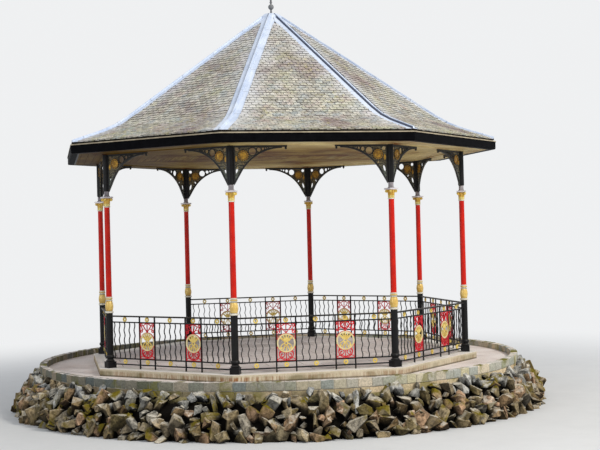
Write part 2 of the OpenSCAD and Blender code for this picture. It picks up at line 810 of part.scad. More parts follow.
// Box gutter with a pale lip
module gutter() {
    b = gutter_back_r + fit;
    f = gutter_front_r;
    top = gutter_z + gutter_h;
    lip = top - gutter_lip_h;
    color("black") for (i = [0 : sides - 1]) rotate(i * turn)
        mitred_length([[b, gutter_z], [f - 14, gutter_z], [f, gutter_z + 18], [f, lip],
            [f + 9, lip + 6], [f + 9, top - 6], [f + 3, top], [f - gutter_wall, top],
            [f - gutter_wall, gutter_z + gutter_wall + 14],
            [f - gutter_wall - 10, gutter_z + gutter_wall],
            [b + gutter_wall, gutter_z + gutter_wall], [b + gutter_wall, top], [b, top]],
            mitre_joint);
}

// One of the eight roof slopes, boards with slates that overhang at the eave
module roof_slope(a) {
    e = slate_edge_r;
    g = gutter_back_r;
    color("tan") rotate(a) mitred_length(concat(
        [[apex_hole_r, roof_z(apex_hole_r)]], [for (r = KICK_RS) [r, roof_z(r)]],
        [[e, slate_edge_z], [e, slate_edge_z - slate_t], [g, roof_z(g) - slate_t],
            [g, roof_z(g) - roof_t]],
        [for (k = [2 : -1 : 0]) [KICK_RS[k], roof_z(KICK_RS[k]) - roof_t]],
        [[apex_hole_r, roof_z(apex_hole_r) - roof_t]]), 0);
}

// Lead on one side of a hip: a thin shell over the slope, cut to a band that laps the hip
module lead_wing() {
    e = slate_edge_r;
    c = apex_cap_r + fit;
    hip = [sin(half), -cos(half)];
    side = [-cos(half), -sin(half)];
    far = 1.2 * e / cos(half);
    meet = lead_w / tan(half) + lead_t;
    lap = lead_t;
    intersection() {
        mitred_length(concat(
            [[c, roof_z(c) + fit]], [for (r = KICK_RS) [r, roof_z(r) + fit]],
            [[e, slate_edge_z + fit], [e, slate_edge_z + fit + lead_t]],
            [for (k = [2 : -1 : 0]) [KICK_RS[k], roof_z(KICK_RS[k]) + fit + lead_t]],
            [[c, roof_z(c) + fit + lead_t]]), -lap);
        linear_extrude(height = 2 * apex_z)
            polygon([hip * lead_t - side * lap, hip * far - side * lap,
                hip * far + side * lead_w, hip * meet + side * lead_w]);
    }
}

// Roll along a hip, as a bar of one width between two heights above the hip line
module hip_roll(w, low, high) {
    line = concat([apex_cap_r + lead_t], KICK_RS, [slate_edge_r]);
    last = len(line) - 1;
    rotate(half - 90) rotate([90, 0, 0]) linear_extrude(height = w, center = true)
        polygon(concat(
            [for (r = line) [r / cos(half), roof_z(r) + low]],
            [for (k = [last : -1 : 0]) [line[k] / cos(half), roof_z(line[k]) + high]]));
}

// Lead over the eight hips
module hip_leads() {
    color("lightsteelblue") for (i = [0 : sides - 1]) rotate(i * turn) {
        hip_roll(2 * hip_roll_r, fit + lead_t / 2, 1.5 * hip_roll_r);
        hip_roll(1.1 * hip_roll_r, hip_roll_r, 2 * hip_roll_r);
        lead_wing();
        rotate(turn) mirror([1, 0, 0]) lead_wing();
    }
}

// Flat-topped lead cap over the apex, dressed in eight leaves
module apex_cap() {
    h = finial_spigot_r + fit;
    c = apex_cap_r;
    t = 2 * hip_roll_r;
    flat = apex_cap_r * 0.66;
    color("lightsteelblue") for (i = [0 : sides - 1]) rotate(i * turn)
        mitred_length([[h, roof_z(apex_hole_r) + fit], [apex_hole_r, roof_z(apex_hole_r) + fit],
            [c, roof_z(c) + fit], [c, roof_z(c) + t], [flat, apex_top_z], [h, apex_top_z]], fit);
}

// Ball finial with a knop and a leafed spike, its spigot let into the apex
module finial() {
    drop = apex_top_z + fit - roof_z(apex_hole_r) + roof_t;
    neck = finial_ball_r * 0.3;
    tip = finial_ball_h + finial_ball_r - 4;
    knop = tip + finial_knop_r * 1.5;
    spike = knop + finial_knop_r - 3;
    color("gray") translate([0, 0, apex_top_z + fit]) {
        rotate_extrude() polygon([[0, -drop], [finial_spigot_r, -drop], [finial_spigot_r, 0],
            [finial_spigot_r + 8, 0], [finial_spigot_r + 8, 5], [finial_spigot_r * 0.7, 12],
            [neck + 6, 24], [neck, finial_ball_h - finial_ball_r + 2], [0, finial_ball_h]]);
        translate([0, 0, finial_ball_h]) sphere(r = finial_ball_r);
        translate([0, 0, tip]) cylinder(r = finial_knop_r * 0.55, h = finial_knop_r);
        translate([0, 0, knop]) sphere(r = finial_knop_r);
        translate([0, 0, spike]) rotate_extrude()
            polygon([[0, 0], [17, 0], [22, 8], [12, 20], [10, finial_spike_h * 0.45],
                [17, finial_spike_h * 0.5], [10, finial_spike_h * 0.55],
                [4, finial_spike_h], [0, finial_spike_h + 5]]);
        for (a = [0 : 90 : 270]) rotate(a) translate([0, 0, spike + 12]) rotate([90, 0, 0])
            rotate(-32) linear_extrude(height = 7, center = true)
                leaf_2d(finial_spike_h * 0.32, 26);
    }
}

rockery();
island_core();
terrace_wall();
terrace_kerb();
terrace_paving();
plinth_stones();
floor();
column_feet();
column_vases();
column_shafts();
column_capitals();
upper_posts();
railing(BAY_TURNS[0]);  // railing_1
railing(BAY_TURNS[1]);  // railing_2
railing(BAY_TURNS[2]);  // railing_3
railing(BAY_TURNS[3]);  // railing_4
railing(BAY_TURNS[4]);  // railing_5
railing(BAY_TURNS[5]);  // railing_6
railing(BAY_TURNS[6]);  // railing_7
rail_rings();
rail_medallions();
scroll_panels();
bay_brackets(0);  // bay_brackets_1
bay_brackets(turn);  // bay_brackets_2
bay_brackets(2 * turn);  // bay_brackets_3
bay_brackets(3 * turn);  // bay_brackets_4
bay_brackets(4 * turn);  // bay_brackets_5
bay_brackets(5 * turn);  // bay_brackets_6
bay_brackets(6 * turn);  // bay_brackets_7
bay_brackets(7 * turn);  // bay_brackets_8
bracket_rosettes();
ring_beam();
ceiling();
eaves_soffit();
fascia();
gutter();
roof_slope(0);  // roof_slope_1
roof_slope(turn);  // roof_slope_2
roof_slope(2 * turn);  // roof_slope_3
roof_slope(3 * turn);  // roof_slope_4
roof_slope(4 * turn);  // roof_slope_5
roof_slope(5 * turn);  // roof_slope_6
roof_slope(6 * turn);  // roof_slope_7
roof_slope(7 * turn);  // roof_slope_8
hip_leads();
apex_cap();
finial();
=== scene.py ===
# %% [markdown]
# # Dressing a bandstand
#
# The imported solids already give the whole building: terrace, plinth, columns, railings, brackets, ceiling,
# gutter and roof. This script adds what is too small or too many for solids: the slates, the kerb setts, the
# broken stones of the rockery, the beads round the rosettes and the volutes of the capitals. It also gives
# every surface its finish. All lengths are in metres, Z is up from the foot, and the front bay faces -Y.

# %% Load the solids
import math
import random

import bpy
from mathutils import Euler, Matrix, Vector, noise


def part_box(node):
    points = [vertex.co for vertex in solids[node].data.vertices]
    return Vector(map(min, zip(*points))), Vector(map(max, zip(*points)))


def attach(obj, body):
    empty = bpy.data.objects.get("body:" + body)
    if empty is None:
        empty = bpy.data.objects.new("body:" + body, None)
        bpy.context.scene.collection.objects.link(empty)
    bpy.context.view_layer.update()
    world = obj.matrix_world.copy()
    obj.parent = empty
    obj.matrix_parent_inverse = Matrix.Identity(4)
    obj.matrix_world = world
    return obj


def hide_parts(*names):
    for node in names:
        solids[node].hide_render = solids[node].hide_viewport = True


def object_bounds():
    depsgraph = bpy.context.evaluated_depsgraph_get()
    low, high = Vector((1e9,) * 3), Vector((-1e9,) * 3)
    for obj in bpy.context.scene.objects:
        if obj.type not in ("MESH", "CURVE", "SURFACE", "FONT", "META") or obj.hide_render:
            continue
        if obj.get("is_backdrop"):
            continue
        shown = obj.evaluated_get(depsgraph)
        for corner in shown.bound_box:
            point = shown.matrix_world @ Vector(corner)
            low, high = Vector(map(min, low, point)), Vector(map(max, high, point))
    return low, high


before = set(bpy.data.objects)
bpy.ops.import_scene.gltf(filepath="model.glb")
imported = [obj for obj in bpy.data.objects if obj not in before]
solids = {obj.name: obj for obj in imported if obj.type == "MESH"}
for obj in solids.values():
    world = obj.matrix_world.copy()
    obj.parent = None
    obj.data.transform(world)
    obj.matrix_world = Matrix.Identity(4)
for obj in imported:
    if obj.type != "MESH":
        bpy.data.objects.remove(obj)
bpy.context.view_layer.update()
bpy.ops.object.select_all(action="DESELECT")

# %% [markdown]
# The main sizes are read off the solids, so that what is added here lands where the building has it. A ring
# of the terrace gives its radius as half its width, and each height is the top or foot of a piece. The
# columns stand on the corners of an octagon, so the shafts reach out to a column's middle and their own
# radius.

# %% Sizes taken from the solids
SIDES = 8
TURN = math.tau / SIDES
HALF = TURN / 2
SHAFT_R = 0.052
ROCKERY_H = 0.66


def foot_of(name):
    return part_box(name)[0].z


def top_of(name):
    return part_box(name)[1].z


def reach_of(name):
    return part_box(name)[1].x


deck_z, walk_z, beam_z = top_of("floor"), top_of("terrace_paving"), foot_of("ring_beam")
kerb_foot_z, kerb_top_z = foot_of("terrace_kerb"), top_of("terrace_kerb")
kerb_r, wall_r = reach_of("terrace_kerb"), reach_of("terrace_wall")
column_r = (reach_of("column_shafts") - SHAFT_R) / math.cos(HALF)
bay_out, bay_half = column_r * math.cos(HALF), column_r * math.sin(HALF)
print(f"deck {deck_z:.3f}, kerb radius {kerb_r:.3f}, beam foot {beam_z:.3f}, columns at {column_r:.3f}")

# %% [markdown]
# ## Camera
#
# The photograph was taken from some way off, a little above the plinth and turned slightly to the right of
# the front bay. The place, lens and small roll below come from fitting the eight column feet and heads to
# the picture.

# %% Set the camera
eye = Vector((-4.373, -23.098, deck_z + 2.277))
heading, pitch, roll = math.radians(11.85), math.radians(0.4849), math.radians(-1.4051)
ahead = Vector((math.sin(heading) * math.cos(pitch), math.cos(heading) * math.cos(pitch), math.sin(pitch)))
level_right = ahead.cross(Vector((0, 0, 1))).normalized()
level_up = level_right.cross(ahead)
right = math.cos(roll) * level_right + math.sin(roll) * level_up
up = -math.sin(roll) * level_right + math.cos(roll) * level_up

camera_data = bpy.data.cameras.new("camera")
camera_data.lens, camera_data.sensor_width, camera_data.clip_end = 72.23, 36, 500
camera = bpy.data.objects.new("camera", camera_data)
camera.matrix_world = Matrix.Translation(eye) @ Matrix((right, up, -ahead)).transposed().to_4x4()
bpy.context.scene.collection.objects.link(camera)
bpy.context.scene.camera = camera
print("camera", tuple(round(v, 3) for v in eye), "looks along", tuple(round(v, 3) for v in ahead))

# %% [markdown]
# ## Short words for shader nodes
#
# A material is a small network of nodes, and the output of a node is called a pattern here, because it can
# differ from place to place. Adding or multiplying patterns places a Math node, so a finish below reads like
# a sum. A colour of three numbers is written as a picture shows it, from 0 to 255. One of four numbers is
# what Blender works with, and plug leaves it alone.


# %% Patterns, and how they reach a socket
class Pattern:
    """The output of a node. Arithmetic on it places Math nodes in the same tree."""

    def __init__(self, socket):
        self.socket, self.tree = socket, socket.id_data

    def __add__(self, other):
        return maths("ADD", self, other)

    def __sub__(self, other):
        return maths("SUBTRACT", self, other)

    def __rsub__(self, other):
        return maths("SUBTRACT", other, self)

    def __mul__(self, other):
        return maths("MULTIPLY", self, other)

    def __truediv__(self, other):
        return maths("DIVIDE", self, other)

    def __pow__(self, other):
        return maths("POWER", self, other)

    def __abs__(self):
        return maths("ABSOLUTE", self)

    def mates(self):
        """Every output of its node, by name."""
        return {socket.name: Pattern(socket) for socket in self.socket.node.outputs}


def tint(red, green, blue):
    """The colour as Blender wants it, from the numbers that a picture shows."""
    parts = [v / 255 for v in (red, green, blue)]
    return tuple(v / 12.92 if v <= 0.04045 else ((v + 0.055) / 1.055) ** 2.4 for v in parts) + (1.0,)


def plug(socket, value):
    """Links a pattern to a socket, or sets the socket to a number or a colour. None leaves it as it is."""
    if isinstance(value, Pattern):
        value.tree.links.new(value.socket, socket)
    elif socket.type == "RGBA" and isinstance(value, tuple) and len(value) == 3:
        socket.default_value = tint(*value)
    elif value is not None:
        socket.default_value = value


def node(kind, *values, tree=None, gives=0, how=None, **named):
    """The pattern that a new node gives.

    Values go to its inputs in order or by the input's name, and how holds the node's own settings. The node
    is placed in the tree of its values, or in the tree that is named where it has none.
    """
    tree = tree or next(v.tree for v in (*values, *named.values()) if isinstance(v, Pattern))
    made = tree.nodes.new("ShaderNode" + kind)
    for setting, value in (how or {}).items():
        setattr(made, setting, value)
    for socket, value in zip(made.inputs, values):
        plug(socket, value)
    for label, value in named.items():
        plug(made.inputs[label.replace("_", " ").title()], value)
    return Pattern(made.outputs[gives])


print("a mid grey is", round(tint(128, 128, 128)[0], 3), "to Blender")

# %% [markdown]
# With that one word for placing a node, each node that the finishes need becomes a word of its own: a sum, a
# value eased from one range into another, a blend of two colours, and soft noise. A place is a pattern too,
# and its X is how far east a point lies, which is the sunny side.


# %% Words for single nodes
def maths(work, *values):
    return node("Math", *values, how={"operation": work})


def length_of(across, up):
    """How long the line is that goes this far across and this far up."""
    return maths("SQRT", across * across + up * up)


def between(value, low, high, at_low=0.0, at_high=1.0):
    """Eases a value from one range into another."""
    return node("MapRange", value=value, from_min=low, from_max=high, to_min=at_low, to_max=at_high,
                gives="Result", how={"interpolation_type": "SMOOTHSTEP"})


def mixed(share, first, second, how="MIX"):
    """The first colour, with a share of the second."""
    return node("Mix", share, *[None] * 5, first, second, gives=2, how={"data_type": "RGBA", "blend_type": how})


def shaded(colour, light):
    """The colour made darker or lighter by a pattern round 1."""
    return mixed(1.0, colour, light, "MULTIPLY")


def cloud(place, scale, detail=3.0, roughness=0.5, distortion=0.0):
    """Soft random values round 0.5."""
    return node("TexNoise", vector=place, scale=scale, detail=detail, roughness=roughness,
                distortion=distortion, gives="Fac")


def stretched(place, across, deep, high):
    """The same place with each axis scaled, which draws a pattern out along an axis."""
    return node("VectorMath", place, (across, deep, high), how={"operation": "MULTIPLY"})


def place_of(x=0.0, y=0.0, z=0.0):
    """A place put together from three patterns."""
    return node("CombineXYZ", x, y, z)


def height_of(place):
    return node("SeparateXYZ", place, gives="Z")


def east_of(place):
    return node("SeparateXYZ", place, gives="X")


def facing_up(place):
    """How far the surface at this place faces up, from -1 to 1."""
    return height_of(node("NewGeometry", tree=place.tree, gives="Normal"))


# %% [markdown]
# A new finish starts as Blender's own glossy shader and the place on the object that its patterns read. What
# is the same all over, such as the gloss, is set on the shader itself. At the end a finish is dressed: its
# colour is plugged in, and a bump from a height makes the light catch on it.


# %% Start and dress a finish
def new_finish(name, roughness, metal=0.0, shine=0.5):
    """A material, its shader, and the place that its patterns read."""
    material = bpy.data.materials.new(name)
    material.use_nodes = True
    shader = material.node_tree.nodes["Principled BSDF"]
    for label, value in (("Roughness", roughness), ("Metallic", metal), ("Specular IOR Level", shine)):
        shader.inputs[label].default_value = value
    return material, shader, node("TexCoord", tree=material.node_tree, gives="Object")


def dress(shader, colour, height, depth, strength):
    plug(shader.inputs["Base Color"], colour)
    bump = node("Bump", height=height, distance=depth, strength=strength, gives="Normal")
    plug(shader.inputs["Normal"], bump)


# %% [markdown]
# ## Light and floor
#
# A large soft lamp high on the front right stands for the sun in the photograph, and a weaker one fills the
# left. The floor is a plain pale sheet at the foot of the building. The world is grey-white for the light
# that it gives, and plain white where the camera or a mirror sees it.


# %% Light the stage
def soft_lamp(name, place, width, power, colour):
    """A round lamp that shines at the middle of the building."""
    data = bpy.data.lights.new(name, "AREA")
    data.shape, data.size, data.energy, data.color = "DISK", width, power, colour
    lamp = bpy.data.objects.new(name, data)
    lamp.location = place
    lamp.rotation_euler = (Vector((0, 0, 2)) - Vector(place)).to_track_quat("-Z", "Y").to_euler()
    bpy.context.scene.collection.objects.link(lamp)


soft_lamp("key_lamp", (14, -20, 20), 7, 5200, (1.0, 0.97, 0.92))
soft_lamp("fill_lamp", (-22, -16, 9), 12, 950, (0.93, 0.96, 1.0))

bpy.ops.mesh.primitive_plane_add(size=300)
ground = bpy.context.object
ground.name = "ground_sheet"
ground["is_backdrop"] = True
bpy.ops.object.select_all(action="DESELECT")

BACKDROP, BACKDROP_LIGHT = (0.94, 0.95, 0.96, 1), 0.92
world = bpy.data.worlds.new("studio")
bpy.context.scene.world = world
world.use_nodes = True
sky = world.node_tree
sky.nodes.clear()
rays = node("LightPath", tree=sky).mates()
seen = maths("MAXIMUM", rays["Is Camera Ray"], rays["Is Glossy Ray"])
light_given = node("Background", (0.86, 0.90, 0.97, 1), 0.62, tree=sky)
light_shown = node("Background", BACKDROP, BACKDROP_LIGHT, tree=sky)
light = node("MixShader", seen, light_given, light_shown)
plug(sky.nodes.new("ShaderNodeOutputWorld").inputs["Surface"], light)
bpy.context.scene.view_settings.view_transform = "Standard"
print("two lamps and a world that shows", BACKDROP[:3])

# %% [markdown]
# ## Shared effects
#
# A node group is one effect that many materials place. It takes values in and gives colours or values out,
# and the glossy shader itself stays in each material. The first group turns a place on the building into
# what its eight sides need: the distance out from the axis, the distance along the side, how far it is to
# the nearest hip line, and the number of the side.


# %% Node groups: the plan of the sides
def new_group(name, sockets_in, sockets_out):
    """A group, what it is given, and the sockets of what it sends out."""
    group = bpy.data.node_groups.new(name, "ShaderNodeTree")
    for label, kind, value in sockets_in:
        socket = group.interface.new_socket(label, in_out="INPUT", socket_type="NodeSocket" + kind)
        if value is not None:
            socket.default_value = value
    for label, kind in sockets_out:
        group.interface.new_socket(label, in_out="OUTPUT", socket_type="NodeSocket" + kind)
    given = {socket.name: Pattern(socket) for socket in group.nodes.new("NodeGroupInput").outputs}
    return group, given, group.nodes.new("NodeGroupOutput").inputs


def placed(group, **values):
    """The outputs of a group, by name, once it is placed with these values."""
    return node("Group", how={"node_tree": group}, **values).mates()


eight_sides, given, sent = new_group(
    "eight_sides", [("Place", "Vector", None)],
    [("Out", "Float"), ("Along", "Float"), ("To Hip", "Float"), ("Side", "Float")])
parts = node("SeparateXYZ", given["Place"]).mates()
angle = maths("ARCTAN2", parts["Y"], parts["X"])
off_middle = maths("WRAP", angle, HALF, -HALF)
radius = length_of(parts["X"], parts["Y"])
out, along = radius * maths("COSINE", off_middle), radius * maths("SINE", off_middle)
plug(sent["Out"], out)
plug(sent["Along"], along)
plug(sent["To Hip"], out * math.tan(HALF) - abs(along))
plug(sent["Side"], maths("ROUND", angle / TURN))
print("group", eight_sides.name, "puts out", [s.name for s in sent if s.name])

# %% [markdown]
# Dust settles on what faces up, and dirt stays in the hollows of a rough surface. The second group lays dust
# on a colour by how far the surface faces up, broken by noise. The third breaks any flat colour into cloudy
# lighter and darker parts, at a large and a small scale, because no painted or stone face is even.

# %% Node groups: dust and cloudy colour
dusty, given, sent = new_group(
    "dusty", [("Colour", "Color", None), ("Dust", "Color", tint(150, 140, 125)), ("Amount", "Float", 0.5),
              ("Place", "Vector", None), ("Scale", "Float", 6.0)],
    [("Colour", "Color"), ("Mask", "Float")])
patchy = between(cloud(given["Place"], given["Scale"], 4.0, 0.6), 0.3, 0.7, 0.35, 1.0)
mask = between(facing_up(given["Place"]), 0.1, 0.95) * patchy * given["Amount"]
plug(sent["Colour"], mixed(mask, given["Colour"], given["Dust"]))
plug(sent["Mask"], mask)

cloudy, given, sent = new_group(
    "cloudy", [("Dark", "Color", None), ("Light", "Color", None), ("Place", "Vector", None),
               ("Scale", "Float", 2.0), ("Grain", "Float", 40.0), ("Grain Share", "Float", 0.35)],
    [("Colour", "Color"), ("Height", "Float")])
large = between(cloud(given["Place"], given["Scale"], 4.0, 0.55), 0.25, 0.75)
fine = cloud(given["Place"], given["Grain"], 3.0, 0.65)
share = node("Mix", given["Grain Share"], None, large, between(fine, 0.3, 0.7))
plug(sent["Colour"], mixed(share, given["Dark"], given["Light"]))
plug(sent["Height"], fine)


def tones(place, dark, light, scale, grain, grain_share=0.35):
    """A colour that drifts from dark to light, and the height of its grain."""
    return placed(cloudy, place=place, dark=dark, light=light, scale=scale, grain=grain,
                  grain_share=grain_share)


print("groups", dusty.name, "and", cloudy.name)

# %% [markdown]
# ## Painted iron
#
# All the castings are painted: black gloss on posts, rails and brackets, pillar-box red on the shafts, and
# gold on capitals, vases and medallions. Paint on a casting is a little uneven, so each finish has a fine
# bump and a cloudy colour, and dust dulls what faces up. The gold of the rosettes is the most mottled,
# because their petals are small and dirt stays between them.

# %% Paint finishes for iron
PAINT_GRAIN, PAINT_DUST, PAINT_BUMP = 90.0, 14.0, (0.0012, 0.5)
BLACK = ((6, 6, 8), (22, 22, 23))


def iron_paint(name, dark, light, roughness, dust=0.35, dust_colour=(140, 132, 118), metal=0.0, scale=5.0,
               shine=0.5):
    material, shader, place = new_finish(name, roughness, metal, shine)
    paint = tones(place, dark, light, scale, PAINT_GRAIN, 0.25)
    over = placed(dusty, colour=paint["Colour"], dust=dust_colour, amount=dust, place=place, scale=PAINT_DUST)
    plug(shader.inputs["Roughness"], between(over["Mask"], 0.0, 0.6, roughness, roughness + 0.35))
    dress(shader, over["Colour"], paint["Height"], *PAINT_BUMP)
    return material


black_iron = iron_paint("black_iron_paint", *BLACK, 0.42, 0.12, shine=0.22)
red_iron = iron_paint("red_iron_paint", (188, 14, 0), (218, 34, 8), 0.34, 0.08, (205, 110, 84), shine=0.24)
scroll_red = iron_paint("scroll_red_paint", (184, 8, 26), (226, 30, 46), 0.36, 0.1, (205, 120, 100), shine=0.3)
gold_iron = iron_paint("gold_iron_paint", (120, 76, 14), (226, 176, 56), 0.36, 0.1, (240, 220, 160), 0.2, 22.0)
ring_gold = iron_paint("ring_gold_paint", (206, 164, 50), (248, 226, 128), 0.36, 0.1, metal=0.1)
grey_iron = iron_paint("grey_finial_paint", (86, 88, 92), (128, 130, 132), 0.5, 0.3)
print("paints:", [m.name for m in (black_iron, red_iron, scroll_red, gold_iron, ring_gold, grey_iron)])

# %% [markdown]
# Some castings carry two or more paints on one solid. The gold vase stands between cream flanges with dark
# grooves, and a capital has a pale abacus over gold leaves. Painters keep to the mouldings, so the height of
# a point chooses its paint.


# %% Paints in bands on one casting
def banded_paint(name, base, bands, roughness, metal=0.0, dust=0.15, shine=0.5):
    """A paint of one colour pair, with bands of others: (low, high, dark, light) by height."""
    material, shader, place = new_finish(name, roughness, metal, shine)
    height = height_of(place)
    paint = tones(place, *base, 9.0, PAINT_GRAIN, 0.3)
    colour = paint["Colour"]
    for low, high, dark, light in bands:
        inside = maths("GREATER_THAN", height, low) * maths("LESS_THAN", height, high)
        colour = mixed(inside, colour, tones(place, dark, light, 9.0, PAINT_GRAIN, 0.3)["Colour"])
    over = placed(dusty, colour=colour, amount=dust, place=place, scale=PAINT_DUST)
    dress(shader, over["Colour"], paint["Height"], *PAINT_BUMP)
    return material


CREAM = ((212, 204, 180), (242, 237, 220))
GROOVE = ((40, 30, 16), (70, 54, 28))
vase_z, shaft_z = foot_of("column_vases"), foot_of("column_shafts")
capital_z, neck_z = foot_of("column_capitals"), top_of("column_capitals")
lip_z = top_of("gutter")
# Flanges and grooves of the vase, by height above its foot.
VASE_BANDS = [(0.0, 0.035, CREAM), (0.035, 0.041, GROOVE), (0.209, 0.217, GROOVE), (0.217, 0.239, CREAM),
              (0.239, 0.243, GROOVE), (0.262, shaft_z - vase_z, CREAM)]
vase_paint = banded_paint("vase_paint", ((206, 160, 66), (246, 216, 128)), [
    (vase_z + low, vase_z + high, *pair) for low, high, pair in VASE_BANDS], 0.24, 0.15, shine=0.6)
# The capital has a pale abacus at its top, a paler bell below the leaves and a cream necking.
capital_paint = banded_paint("capital_paint", ((180, 128, 26), (236, 196, 84)), [
    (neck_z - 0.03, neck_z + 0.01, (190, 182, 184), (226, 220, 224)),
    (capital_z + 0.022, capital_z + 0.066, (206, 180, 84), (244, 228, 150)),
    (capital_z - 0.01, capital_z + 0.022, *CREAM)], 0.26, 0.15, shine=0.6)
# The upper post is black gloss. The grey band at its foot is partly weathered paint and partly a painted sheen
# of sun on the gloss.
neck_paint_and_sheen = banded_paint("neck_paint_and_sheen", BLACK, [
    (neck_z - 0.01, neck_z + 0.094, (84, 80, 84), (182, 174, 176))], 0.42, dust=0.12, shine=0.22)
gutter_paint = banded_paint("gutter_paint", ((3, 3, 5), (13, 13, 16)), [
    (lip_z - 0.02, lip_z + 0.01, (140, 128, 108), (192, 180, 154))], 0.6, dust=0.02, shine=0.03)
print(f"capital from {capital_z:.3f} to {neck_z:.3f}, gutter lip at {lip_z:.3f}")

# %% [markdown]
# A medallion is gold inside a paler rim, so the distance from its middle chooses the gold. The pale rim is
# partly cream paint and partly a painted highlight. In a bracket the black bars stand proud of a thin web,
# which is dull bronze with dark curls, and a gold ring runs round each rosette. The web is found by its
# distance from the middle plane of the bay, and its curls are the rings of a Wave node, bent by noise.

# %% Medallions with a pale rim, and bracket webs with curls
MEDALLION_ALONG, MEDALLION_UP, RIM_R = 0.51, 0.482, (0.129, 0.135)
ROSETTE_IN, ROSETTE_DOWN, GOLD_RING_R = 0.217, 0.168, 0.075
WEB_HALF = 0.006


def medallion_paint():
    material, shader, place = new_finish("medallion_paint", 0.38, 0.2)
    off_middle = length_of(abs(placed(eight_sides, place=place)["Along"]) - MEDALLION_ALONG,
                           height_of(place) - (deck_z + MEDALLION_UP))
    gold = tones(place, (202, 158, 58), (252, 232, 140), 14.0, 110.0, 0.4)
    # The pale rim is partly cream paint and partly a painted highlight.
    rim_and_highlight = tones(place, (206, 178, 104), (246, 234, 190), 9.0, 110.0, 0.4)
    colour = mixed(between(off_middle, *RIM_R), gold["Colour"], rim_and_highlight["Colour"])
    dress(shader, colour, gold["Height"], *PAINT_BUMP)
    return material


def bracket_paint():
    material, shader, place = new_finish("bracket_paint", 0.5)
    plan, height = placed(eight_sides, place=place), height_of(place)
    aside = abs(plan["Along"])
    bars = tones(place, (7, 7, 9), (26, 25, 24), 6.0, PAINT_GRAIN, 0.3)
    web = tones(place, (44, 38, 26), (142, 128, 90), 11.0, 70.0)
    curls = node("TexWave", vector=place_of(aside, 0.0, height), scale=9.0, distortion=9.0, detail=2.0,
                 detail_scale=1.4, gives="Fac", how={"wave_type": "RINGS", "rings_direction": "Y"})
    curl = between(curls, 0.58, 0.82)
    metal = mixed(between(height, beam_z - 0.28, beam_z - 0.5), web["Colour"], (104, 110, 98))
    leaf = mixed(curl * 0.9, metal, (24, 22, 20))
    in_web = between(abs(plan["Out"] - bay_out), WEB_HALF * 1.1, WEB_HALF * 0.9)
    colour = mixed(in_web, bars["Colour"], leaf)
    off_ring = abs(length_of(aside - (bay_half - ROSETTE_IN), height - (beam_z - ROSETTE_DOWN)) - GOLD_RING_R)
    colour = mixed(between(off_ring, 0.006, 0.0045), colour, (176, 128, 44))
    dress(shader, colour, curl * in_web, 0.003, 0.8)
    return material


medallion_gold, bracket_iron = medallion_paint(), bracket_paint()
print("bracket webs stand within", WEB_HALF, "m of", round(bay_out, 3), "m from the axis")

# %% [markdown]
# ## Stone
#
# The plinth is buff stone. Rust from the ironwork has run down its face in upright streaks, so the streak
# pattern is noise drawn out along Z and read with the distance along each side. Damp stays at its foot,
# and the streaks are painted fainter on the sunny side, as painted light. A dark line runs along the walk,
# partly dirt and partly painted shade, and the top is painted paler, as painted sunlight.


# %% Plinth stone with rust streaks
def streaked(along, side, height, scale, length):
    """Noise in upright streaks, from a distance along a side and a height."""
    return cloud(place_of(along + side * 7.3, 0.0, height * length), scale, 4.0, 0.6)


def plinth_finish():
    material, shader, place = new_finish("plinth_stone", 0.85)
    plan, height = placed(eight_sides, place=place), height_of(place)
    along, side = plan["Along"], plan["Side"]
    stone = tones(place, (178, 166, 136), (228, 218, 192), 2.2, 70.0, 0.45)
    top = tones(place, (222, 214, 202), (248, 242, 234), 3.0, 60.0, 0.5)
    rust = between(streaked(along, side, height, 27.0, 0.12), 0.36, 0.62)
    patches = between(streaked(along, side, height, 1.1, 0.3), 0.34, 0.6, 0.3, 1.0)
    # Streaks grow towards the foot, and they are painted fainter on the sunny east side, as painted light.
    stain_and_painted_shade = between(height, deck_z - 0.01, deck_z - 0.06) * between(east_of(place), -0.5, 3.0, 1.0, 0.5)
    colour = mixed(rust * patches * stain_and_painted_shade, stone["Colour"], (138, 88, 42))
    colour = mixed(between(cloud(place, 3.1), 0.44, 0.64, 0.0, 0.65) * stain_and_painted_shade, colour, (106, 98, 56))
    # A dark line at the foot of the face along the walk, partly dirt and partly painted shade.
    above_walk = height - (stone["Height"] * 0.03 + walk_z)
    colour = mixed(between(above_walk, 0.022, 0.0, 0.0, 0.7), colour, (62, 52, 36))
    # The top and its upper edge are painted paler, as painted sunlight on the face that looks up.
    painted_sunlit_top = between(height, deck_z - 0.006, deck_z - 0.0015)
    dress(shader, mixed(painted_sunlit_top, colour, top["Colour"]), stone["Height"], 0.006, 0.6)
    return material


plinth_stone = plinth_finish()
print("plinth face is streaked below", round(deck_z - 0.01, 3))

# %% [markdown]
# The paved walk and the floor are pale pinkish stone. Flags of the floor are marked by their joints, which a
# brick pattern draws from the plan, and the walk is one rough surface with fine grit. The same finish, with
# other colours, serves for mortar and for what lies under the slates.

# %% Paving and floor
FLAG_LONG, FLAG_WIDE, FLAG_JOINT = 0.62, 0.46, 0.006


def paving_finish(name, dark, light, flags=False, dirt_colour=(132, 118, 104), grain=55.0):
    material, shader, place = new_finish(name, 0.9, shine=0.15)
    stone = tones(place, dark, light, 1.6, grain, 0.5)
    colour = stone["Colour"]
    if flags:
        colour = shaded(colour, node(
            "TexBrick", vector=place, scale=1.0, mortar_size=FLAG_JOINT, brick_width=FLAG_LONG,
            row_height=FLAG_WIDE, color1=(0.85, 0.85, 0.85, 1), color2=(1, 1, 1, 1),
            mortar=(0.4, 0.38, 0.36, 1), gives="Color"))
    dirt = between(cloud(place, 0.9, 5.0, 0.65), 0.5, 0.72, 0.0, 0.3)
    dress(shader, mixed(dirt, colour, dirt_colour), stone["Height"], 0.004, 0.7)
    return material


